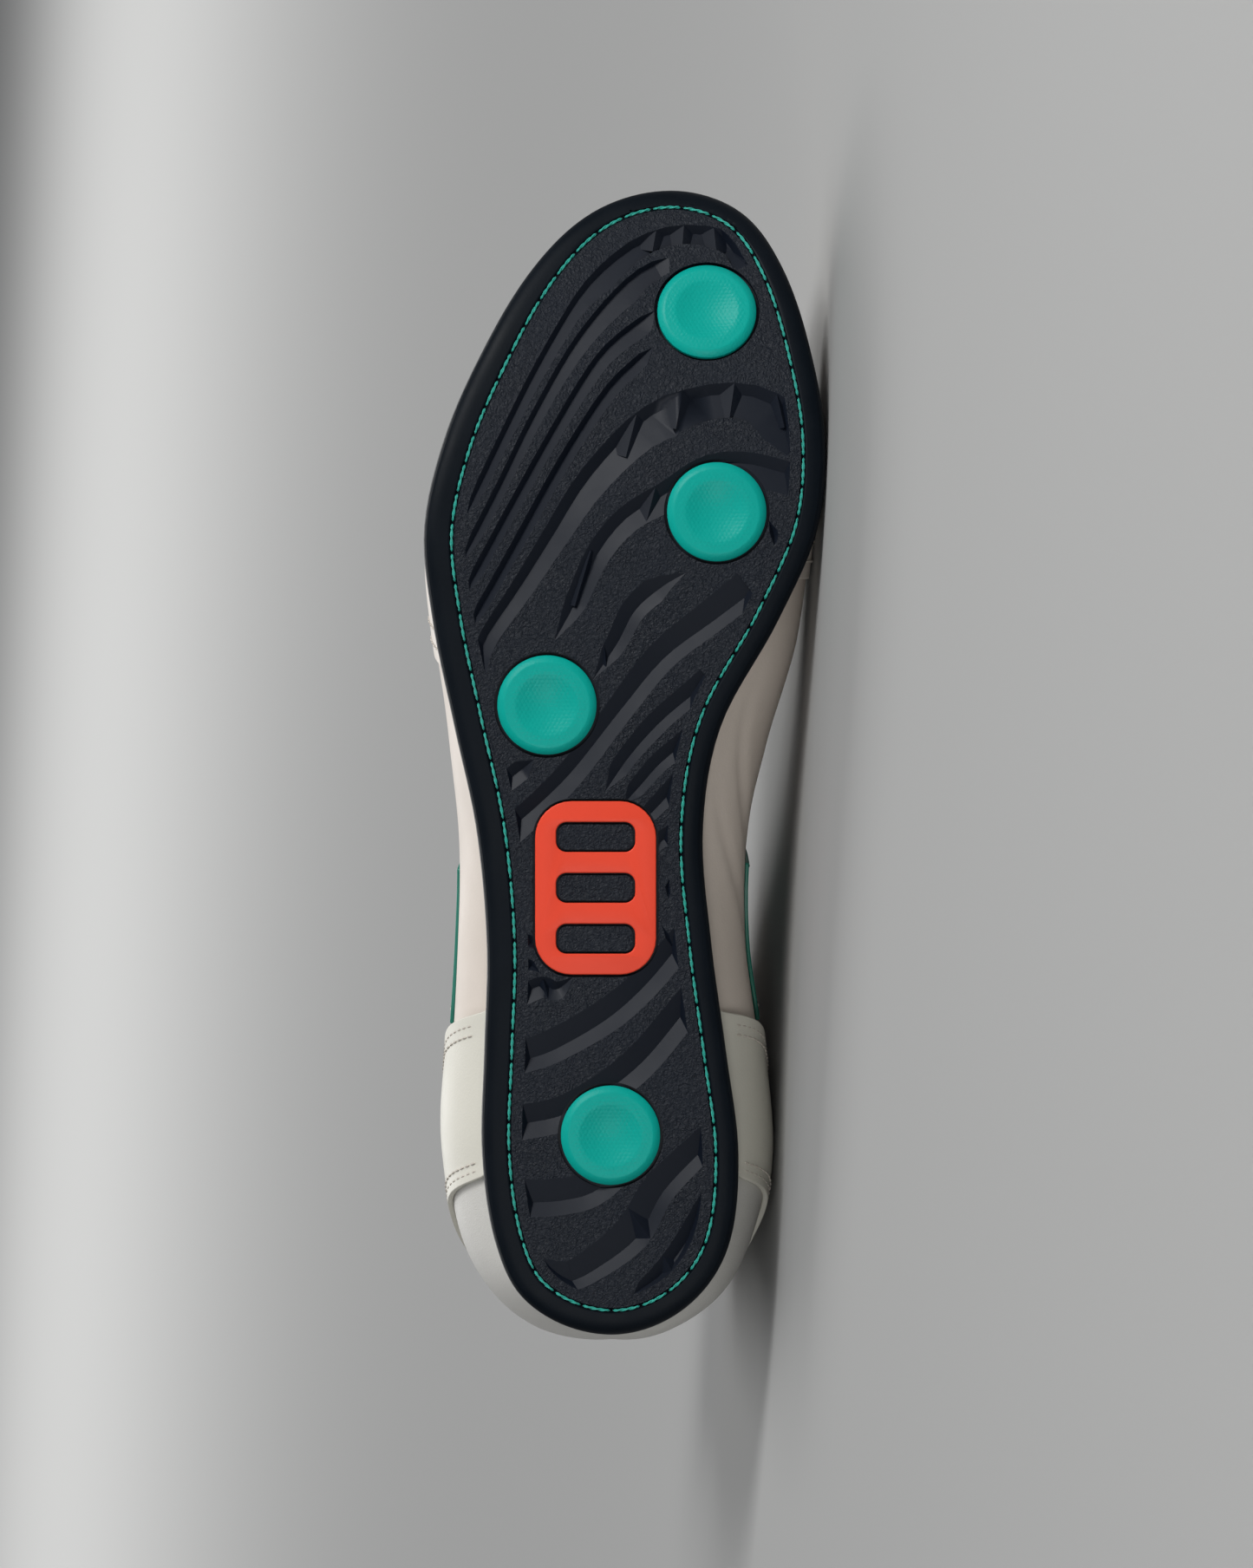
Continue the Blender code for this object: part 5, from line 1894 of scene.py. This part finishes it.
@dataclass
class Patch:
    """A piece of leather on the upper between two edges given as marks of the wall."""

    name: str
    edge_a: Table
    edge_b: Table
    along: int
    across: int
    low: float
    thickness: float
    edge_roll: float = 0.0
    roll_share: float = 0.12
    edge_steps: int = 64
    seam_steps: int = 240

    def marks(self, t: Array, u: Array) -> tuple[Array, Array]:
        """Places and shares at parts of the way along and across the patch.

        Args:
            t: Parts of the way along.
            u: Parts of the way across.

        Returns:
            The places on the loop and the shares of the wall's height.
        """
        edges = [curve_through(edge, self.edge_steps) for edge in (self.edge_a, self.edge_b)]
        at = np.linspace(0, 1, self.edge_steps + 1)
        s = [np.interp(t, at, edge[:, 0]) for edge in edges]
        h = [np.interp(t, at, edge[:, 1]) for edge in edges]
        return s[0] + (s[1] - s[0]) * u, h[0] + (h[1] - h[0]) * u

    def build(self, kind: Finish, slot: str, *nodes: str) -> bpy.types.Object:
        """Builds the patch with rounded edges.

        Args:
            kind: Its finish.
            slot: The record's material slot.
            *nodes: The CAD nodes it replaces.

        Returns:
            The object.
        """
        t = np.linspace(0, 1, self.along + 1)[None, :].repeat(self.across + 1, 0)
        u = np.linspace(0, 1, self.across + 1)[:, None].repeat(self.along + 1, 1)
        s, share = self.marks(t.ravel(), u.ravel())
        point, normal = WALL.sample(s, share)
        from_edge = np.minimum(u, 1 - u).ravel()
        roll = self.edge_roll * bump(from_edge / self.roll_share)
        outer = point + normal * (self.low + self.thickness + roll)[:, None]
        inner = point + normal * self.low
        shape = (self.across + 1, self.along + 1, 3)
        patch = shell_object(
            self.name, outer.reshape(shape), inner.reshape(shape), False, [finish(kind)]
        )
        add_bevel(patch, PATCH_BEVEL)
        bake_modifiers(patch)
        return shown(patch, slot, *nodes)

    def seam(
        self,
        seams: Parts,
        inset: float,
        row: SeamRow,
        side: int,
        start: float = 0.0,
        stop: float = 1.0,
    ) -> None:
        """Adds a row of stitches inside one edge of the patch.

        Args:
            seams: Where the row goes.
            inset: Its distance from the edge.
            row: Its stitches.
            side: 0 for the first edge, 1 for the second.
            start: Where along the edge it starts.
            stop: Where it stops.
        """
        t = np.linspace(start, stop, self.seam_steps)
        edges = [WALL.sample(*self.marks(t, np.full_like(t, u)))[0] for u in (0.0, 1.0)]
        width = np.linalg.norm(edges[1] - edges[0], axis=1)
        part = np.clip(inset / np.maximum(width, 1e-6), 0, 0.5)
        s, share = self.marks(t, part if side == 0 else 1 - part)
        row.run(seams, s, share, self.low + self.thickness)


@dataclass
class Upper:
    """The hollow upper with its heel cap, strap, side panels, vamp, eyestay and stitching."""

    columns: int = 256
    rows: int = 84
    overlay: float = 1.1 * MM
    wall_bevel: float = 0.6 * MM
    lowest_layer: float = 0.08 * MM
    collar_reach: float = 0.41
    collar_rows: tuple[float, float] = (3.0 * MM, 14.0 * MM)
    stay_width: float = 17 * MM
    stay_margin: float = 1.5 * MM
    stay_ends: float = 0.4375
    cap_low: Table = ((-0.26, 0.032), (-0.13, 0.032), (0, 0.032), (0.13, 0.032), (0.26, 0.032))
    cap_high: Table = ((-0.262, 0.05), (-0.16, 0.40), (0, 0.50), (0.16, 0.40), (0.262, 0.05))
    strap_back: Table = (
        (-0.243, 0.03), (-0.222, 0.20), (-0.165, 0.37), (-0.085, 0.44), (0, 0.47),
        (0.085, 0.44), (0.165, 0.37), (0.222, 0.20), (0.243, 0.03),
    )
    strap_front: Table = (
        (-0.357, 0.03), (-0.338, 0.22), (-0.28, 0.50), (-0.15, 0.70), (0, 0.76),
        (0.15, 0.70), (0.28, 0.50), (0.338, 0.22), (0.357, 0.03),
    )
    panel_heel: Table = ((0.344, 0.26), (0.375, 0.44), (0.406, 0.62), (0.4375, 0.73))
    panel_toe: Table = ((0.442, 0.26), (0.462, 0.42), (0.482, 0.57), (0.502, 0.69))
    vamp_top: Table = (
        (0.618, 0.78), (0.70, 0.80), (0.80, 0.80), (0.90, 0.80), (1.0, 0.80),
        (1.10, 0.80), (1.20, 0.80), (1.30, 0.80), (1.362, 0.78),
    )
    seam: SeamRow = field(default_factory=SeamRow)

    def shell(self) -> None:
        """Builds the wall, with its lining inside."""
        s = round_boot(self.columns)
        share = np.linspace(0, 1, self.rows + 1)
        grid_share, grid_s = np.meshgrid(share, s, indexing="ij")
        point, normal = WALL.sample(grid_s, grid_share)
        inner = point - normal * WALL.thickness(grid_s, grid_share)[..., None]
        upper = shell_object(
            "upper_leather", point, inner, True, [finish(FINISH.quarter), finish(FINISH.lining)]
        )
        add_bevel(upper, self.wall_bevel, 3)
        bake_modifiers(upper)
        shown(upper, "cream_leather", "upper")

    def heel(self, seams: Parts) -> None:
        """Builds the heel cap and the strap that runs up round it.

        Args:
            seams: Where the stitches go.
        """
        cap = Patch(
            "heel_cap_leather", self.cap_low, self.cap_high,
            along=72, across=24, low=self.lowest_layer, thickness=0.55 * MM,
        )
        cap.build(FINISH.cap, "cream_leather")
        strap = Patch(
            "heel_strap_leather", self.strap_back, self.strap_front, along=128, across=26,
            low=0.65 * MM, thickness=self.overlay, edge_roll=0.35 * MM,
        )
        strap.build(FINISH.strap, "strap_leather", "heel_strap")
        for side in (0, 1):
            for inset in (2.4 * MM, 4.6 * MM):
                strap.seam(seams, inset, self.seam, side, 0.03, 0.97)

    def side_panels(self, seams: Parts) -> None:
        """Builds the green panel of each side.

        Args:
            seams: Where the stitches go.
        """
        for side in Side:
            edges = [
                tuple((side.value * s, share) for s, share in edge)
                for edge in (self.panel_heel, self.panel_toe)
            ]
            name = f"side_panel_{side.name.lower()}"
            panel = Patch(
                name + "_synthetic", *edges,
                along=40, across=24, low=self.lowest_layer, thickness=self.overlay,
            )
            panel.build(FINISH.green, "green_synthetic", name)
            for edge in (0, 1):
                panel.seam(seams, 1.8 * MM, self.seam, edge, 0.04, 0.96)

    def vamp(self, seams: Parts) -> None:
        """Builds the vamp, a layer over the toe with its seams at the sides.

        Args:
            seams: Where the stitches go.
        """
        foot = tuple((0.545 + 0.855 * k / 8, 0.035) for k in range(9))
        vamp = Patch(
            "vamp_leather", foot, self.vamp_top,
            along=128, across=40, low=0.06 * MM, thickness=0.7 * MM,
        )
        vamp.build(FINISH.vamp, "cream_leather")
        for end in (0.0, 1.0):
            for inset in (0.012, 0.026):
                u = np.linspace(0.03, 0.97, 120)
                t = np.full_like(u, abs(end - inset))
                s, share = vamp.marks(t, u)
                self.seam.run(seams, s, share, vamp.low + vamp.thickness)

    def eyestay(self, seams: Parts) -> None:
        """Builds the horseshoe round the throat.

        Args:
            seams: Where the stitches go.
        """
        s = np.linspace(self.stay_ends, 2 - self.stay_ends, 41)
        low = tuple(zip(s, 1 - self.stay_width / WALL.height(s)))
        high = tuple(zip(s, 1 - self.stay_margin / WALL.height(s)))
        stay = Patch(
            "eyestay_leather", low, high,
            along=200, across=14, low=0.75 * MM, thickness=self.overlay,
        )
        stay.build(FINISH.strap, "strap_leather", "eyestay")
        for side in (0, 1):
            stay.seam(seams, 1.6 * MM, self.seam, side, 0.01, 0.99)
        stay.seam(seams, 3.6 * MM, self.seam, 0, 0.01, 0.99)

    def collar(self, seams: Parts) -> None:
        """Runs the stitches under the collar's edge.

        Args:
            seams: Where the stitches go.
        """
        s = np.linspace(-self.collar_reach, self.collar_reach, 400)
        for down in self.collar_rows:
            self.seam.run(seams, s, 1 - down / WALL.height(s), 0.02 * MM)

    def build(self) -> None:
        """Builds every piece of the upper."""
        seams = Parts()
        self.shell()
        self.heel(seams)
        self.side_panels(seams)
        self.vamp(seams)
        self.eyestay(seams)
        self.collar(seams)
        shown(seams.build("upper_stitching", [FINISH.thread], 60), "strap_leather")


@dataclass
class Lacing:
    """Eyelets, laces and tongue."""

    pairs: int = 7
    span: tuple[float, float] = (0.435, 0.625)
    inset: float = 8 * MM
    width: float = 5.6 * MM
    thickness: float = 1.3 * MM
    crown: float = 3.4 * MM
    stay_top: float = 1.95 * MM
    eyelet_radius: float = 2.3 * MM
    eyelet_steps: int = 28
    eyelet_sides: int = 8
    eyelet_half_width: float = 0.45 * MM
    eyelet_half_height: float = 0.4 * MM
    eyelet_way: Triple = (0.0, 1.0, 0.3)
    # The dark disc of painted shade in each eyelet: its rise and its depth.
    shade_disc_rise: float = 0.05 * MM
    shade_disc_depth: float = 0.6 * MM
    lace_edge: float = 0.55
    lace_face: float = 0.8
    lace_sides: int = 12
    lace_steps: int = 40
    lace_past_hole: float = 0.6 * MM
    lace_in_hole: float = 0.9 * MM
    lace_by_hole: float = 1.2 * MM
    lace_rise: float = 0.3 * MM
    lace_clear: float = 0.4 * MM
    bar_lift: float = 0.3 * MM
    over_lift: float = 1.5 * MM
    under_lift: float = 0.6 * MM
    tongue_gap: float = 0.9 * MM
    tongue_thickness: float = 2.6 * MM
    tongue_tuck: float = 8 * MM
    tongue_crown: float = 2.4 * MM
    tongue_rise: float = 9 * MM
    tongue_span: tuple[float, float] = (0.94, 0.469)
    tongue_rows: int = 60
    tongue_lean: float = 0.1
    tuck_steps: int = 7
    fill: tuple[float, ...] = (0.2, 0.4, 0.6, 0.8)
    top_rows: int = 10
    top_round: float = 0.7
    top_least: float = 0.02
    tongue_bevel: float = 0.7 * MM

    def place(self, row: Array, hand: Side) -> Array:
        """Where on the loop a row of eyelets is.

        Args:
            row: The row, counted from the throat's start.
            hand: The side.

        Returns:
            The place.
        """
        low, high = self.span
        s = high + (low - high) * np.asarray(row) / (self.pairs - 1)
        return s if hand is Side.OUTER else 2 - s

    def on_stay(self, row: float, hand: Side, down: float, out: float) -> tuple[Array, Array]:
        """A point over the eyestay and its normal.

        Args:
            row: The row of eyelets.
            hand: The side.
            down: How far below the top edge.
            out: How far off the eyestay.

        Returns:
            The point and the normal.
        """
        s = self.place(row, hand)
        share = 1 - down / WALL.height(s)
        point, normal = WALL.sample(s, share)
        return point + normal * (self.stay_top + out), normal

    def eyelets(self) -> None:
        """Builds each eyelet's ring and the dark disc in it, painted shade for the opening."""
        turn, tube = full_turn(self.eyelet_steps), full_turn(self.eyelet_sides)
        last = self.eyelet_steps * self.eyelet_sides
        ring_faces = [
            tuple(i % last for i in face)
            for face in grid_faces(self.eyelet_steps + 1, self.eyelet_sides, True)
        ]
        shade_disc_faces = tube_faces(2, self.eyelet_steps)
        parts = Parts()
        for row in range(self.pairs):
            for hand in Side:
                centre, normal = self.on_stay(row, hand, self.inset, 0.0)
                side = unit(np.cross(normal, self.eyelet_way))
                up = np.cross(normal, side)
                ways = [side * math.cos(a) + up * math.sin(a) for a in turn]
                ring = []
                for out in ways:
                    for b in tube:
                        reach = self.eyelet_radius + self.eyelet_half_width * math.cos(b)
                        rise = normal * (self.eyelet_half_height * math.sin(b))
                        ring.append(centre + out * reach + rise)
                parts.add(np.array(ring), ring_faces)
                # Dark disc in the insole's finish: painted shade where the eyelet's opening would
                # be.
                rise = normal * self.shade_disc_rise
                shade_disc_top = [centre + out * self.eyelet_radius + rise for out in ways]
                low = [point - normal * self.shade_disc_depth for point in shade_disc_top]
                parts.add(np.array(shade_disc_top + low), shade_disc_faces, 1)
        eyelets = parts.build("eyelet_rings_and_painted_hole_shade", [FINISH.eyelet, FINISH.insole], 35)
        shown(eyelets, "strap_leather")

    def ribbon(self, line: Array, normals: Array) -> tuple[Array, Faces]:
        """A flat lace with rounded edges along a line.

        Args:
            line: The line.
            normals: Which way the lace faces along it.

        Returns:
            Points and faces.
        """
        along = unit(np.gradient(line, axis=0))
        normals = unit(normals - along * np.sum(normals * along, axis=1, keepdims=True))
        flat = np.cross(along, normals)
        turn = full_turn(self.lace_sides)
        cos, sin = np.cos(turn), np.sin(turn)
        across = np.sign(cos) * np.abs(cos) ** self.lace_edge * self.width / 2
        up = np.sign(sin) * np.abs(sin) ** self.lace_face * self.thickness / 2
        points = (
            line[:, None, :]
            + flat[:, None, :] * across[None, :, None]
            + normals[:, None, :] * up[None, :, None]
        ).reshape(-1, 3)
        return points, tube_faces(len(line), self.lace_sides)

    def laces(self) -> None:
        """Builds the bar and the crossings."""
        parts = Parts()
        runs = [(0, 0, Side.OUTER, self.bar_lift)]
        for row in range(self.pairs - 1):
            runs.append((row, row + 1, Side.OUTER, self.over_lift))
            runs.append((row, row + 1, Side.INNER, self.under_lift))
        for row, upper_row, hand, lift in runs:
            other = Side.INNER if hand is Side.OUTER else Side.OUTER
            past, by = self.inset + self.lace_past_hole, self.inset - self.lace_by_hole
            rise, clear = lift * 0.5 + self.lace_rise, lift + self.lace_clear
            stops = (
                (0.0, hand, past, -self.lace_in_hole),
                (0.02, hand, by, rise),
                (0.16, hand, self.inset / 2, clear),
                (0.28, hand, 0.0, clear),
                (0.72, other, 0.0, clear),
                (0.84, other, self.inset / 2, clear),
                (0.98, other, by, rise),
                (1.0, other, past, -self.lace_in_hole),
            )
            marks, ups = [], []
            for k, (at, side, down, out) in enumerate(stops):
                point, normal = self.on_stay(row + (upper_row - row) * at, side, down, out)
                marks.append(point)
                ups.append(normal)
                if k == 3:
                    marks.append(None)
                    ups.append(None)
            ups[4] = unit(ups[3] + ups[5])
            marks[4] = (marks[3] + marks[5]) / 2 + ups[4] * self.crown
            line = curve_through(np.array(marks), self.lace_steps)
            normals = curve_through(np.array(ups), self.lace_steps)
            parts.add(*self.ribbon(line, unit(normals)))
        shown(parts.build("lace_ribbons", [FINISH.lace], 60), "lace_cord", "laces")

    def tongue(self) -> None:
        """Builds the padded tongue."""
        places = np.linspace(*self.tongue_span, self.tongue_rows)
        turn = self.tuck_steps
        tuck = np.linspace(self.tongue_tuck, 0, turn)
        downs = np.concatenate([tuck, tuck[::-1]])
        hands = [1] * turn + [-1] * turn
        outer, inner = [], []
        for s in places:
            row, under = [], []
            middle_up = unit(WALL.sample(s, 1.0)[1] + WALL.sample(2 - s, 1.0)[1])
            for hand, down in zip(hands, downs):
                at = s if hand > 0 else 2 - s
                share = 1 - down / WALL.height(at)
                point, normal = WALL.sample(at, share)
                depth = WALL.thickness(np.array(at), share) + self.tongue_gap
                row.append(point - normal * depth)
                under.append(row[-1] - unit(normal + middle_up) * self.tongue_thickness)
            left, right = row[turn - 1], row[turn]
            gap = np.linalg.norm(left - right)
            lift = self.tongue_crown * min(gap / LAST.throat_width, 1)
            fill, fill_under = [], []
            for part in self.fill:
                point = left + (right - left) * part
                point = point + middle_up * lift * math.sin(math.pi * part)
                fill.append(point)
                fill_under.append(point - middle_up * self.tongue_thickness)
            outer.append(row[:turn] + fill + row[turn:])
            inner.append(under[:turn] + fill_under + under[turn:])
        climb = unit(np.array(outer[-1][turn + 1]) - np.array(outer[-4][turn + 1]))
        base_out, base_in = np.array(outer[-1]), np.array(inner[-1])
        for part in np.linspace(1 / self.top_rows, 1, self.top_rows):
            reach = climb * self.tongue_rise * part
            reach = reach + np.array((0, self.tongue_lean * self.tongue_rise * part, 0))
            centre = (base_out + base_in) / 2 + reach
            past = max(part - self.top_round, 0) / (1 - self.top_round)
            close = math.sqrt(max(1 - past**2, self.top_least))
            outer.append(list(centre + (base_out - base_in) / 2 * close))
            inner.append(list(centre - (base_out - base_in) / 2 * close))
        tongue = shell_object(
            "tongue_padded", np.array(outer), np.array(inner), False,
            [finish(FINISH.tongue), finish(FINISH.lining)],
        )
        add_bevel(tongue, self.tongue_bevel, 3)
        bake_modifiers(tongue)
        shown(tongue, "lining", "tongue")

    def build(self) -> None:
        """Builds every piece of the lacing."""
        self.eyelets()
        self.laces()
        self.tongue()


@dataclass
class Insole:
    """The footbed, which keeps its CAD shape."""

    node: str = "insole"

    def build(self) -> None:
        """Gives the CAD node its textile finish."""
        insole = frame["nodes"][self.node]
        insole.data.materials.clear()
        insole.data.materials.append(finish(FINISH.insole))


@dataclass(frozen=True)
class Lamp:
    """A square soft light: its place, what it faces, its side in metres and its watts."""

    name: str
    place: Triple
    aim: Triple
    size: float
    power: float

    def build(self) -> None:
        """Puts the lamp up."""
        data = bpy.data.lights.new(self.name, "AREA")
        data.size = self.size
        data.energy = self.power
        lamp = new_object(self.name, data)
        lamp.location = self.place
        way = Vector(self.aim) - Vector(self.place)
        lamp.rotation_euler = way.to_track_quat("-Z", "Y").to_euler()


@dataclass
class Studio:
    """The floor, the light and the camera of the photograph."""

    photo_width: float = 1445.0
    photo_height: float = 1808.0
    heel_pixel: tuple[float, float] = (705.0, 1540.0)
    metres_per_pixel: float = 285 * MM / 1327
    distance: float = 2.6
    sensor: float = 36.0
    floor_colour: Triple = (0.35, 0.35, 0.344)
    floor_reach: Triple = (14.0, 9.0, 16.0)
    floor_roughness: float = 0.9
    floor_specular: float = 0.1
    sky_colour: Triple = (0.93, 0.95, 1.0)
    sky_strength: float = 0.2
    boot: Triple = (0.0, 0.0, 0.05)
    lamps: tuple[Lamp, ...] = (
        Lamp("key_light", (1.25, -1.2, 1.2), boot, 0.8, 34.0),
        Lamp("overhead_light", (0.1, 0.3, 1.9), boot, 1.4, 6.0),
        Lamp("fill_light", (-0.6, -1.8, 0.12), boot, 0.5, 12.0),
        Lamp("far_floor_light", (0.0, 5.0, 3.2), (0.0, 5.0, 0.0), 4.0, 260.0),
    )

    def camera(self) -> None:
        """Looks straight at the sole with the toe up, framed as the photograph is."""
        k = self.metres_per_pixel
        x = (self.heel_pixel[0] - self.photo_width / 2) * k
        y = (self.heel_pixel[1] - self.photo_height / 2) * k
        look = LAY.to_3x3() @ Vector((0, 0, 1))
        up = LAY.to_3x3() @ Vector((0, 1, 0))
        right = look.cross(up)
        target = LAY @ Vector((x, y, 0))
        data = bpy.data.cameras.new("photo_camera")
        data.sensor_width = self.sensor
        data.lens = self.sensor * self.distance / (self.photo_height * k)
        data.clip_start, data.clip_end = 0.01, 20.0
        camera = new_object("photo_camera", data)
        turn = Matrix((right, up, -look)).transposed().to_4x4()
        camera.matrix_world = Matrix.Translation(target - look * self.distance) @ turn
        bpy.context.scene.camera = camera

    def floor(self) -> None:
        """A plain pale floor, wide enough to fill the frame from every side."""
        wide, near, far = self.floor_reach
        points = [(-wide, -near, 0), (wide, -near, 0), (wide, far, 0), (-wide, far, 0)]
        mesh = bpy.data.meshes.new("studio_floor")
        mesh.from_pydata(points, [], [(0, 1, 2, 3)])
        material = bpy.data.materials.new("pale_floor")
        material.use_nodes = True
        shader = material.node_tree.nodes["Principled BSDF"]
        shader.inputs["Base Color"].default_value = (*self.floor_colour, 1)
        shader.inputs["Roughness"].default_value = self.floor_roughness
        shader.inputs["Specular IOR Level"].default_value = self.floor_specular
        mesh.materials.append(material)
        new_object("studio_floor", mesh)

    def build(self) -> None:
        """Builds camera, floor and light."""
        self.camera()
        self.floor()
        for lamp in self.lamps:
            lamp.build()
        world = bpy.data.worlds.new("studio_world")
        world.use_nodes = True
        background = world.node_tree.nodes["Background"]
        background.inputs["Color"].default_value = (*self.sky_colour, 1)
        background.inputs["Strength"].default_value = self.sky_strength
        bpy.context.scene.world = world
        bpy.context.scene.view_settings.view_transform = "Standard"


def main() -> None:
    """Builds the boot and its studio."""
    logging.basicConfig(level=logging.INFO, format="%(message)s")
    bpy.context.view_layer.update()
    discs, badge, sole = GripDiscs(), ArchBadge(), Outsole()
    sole.build(discs, badge)
    sole.stitches()
    discs.build()
    badge.build()
    Insole().build()
    Upper().build()
    Lacing().build()
    Studio().build()


if __name__ == "__main__":
    main()
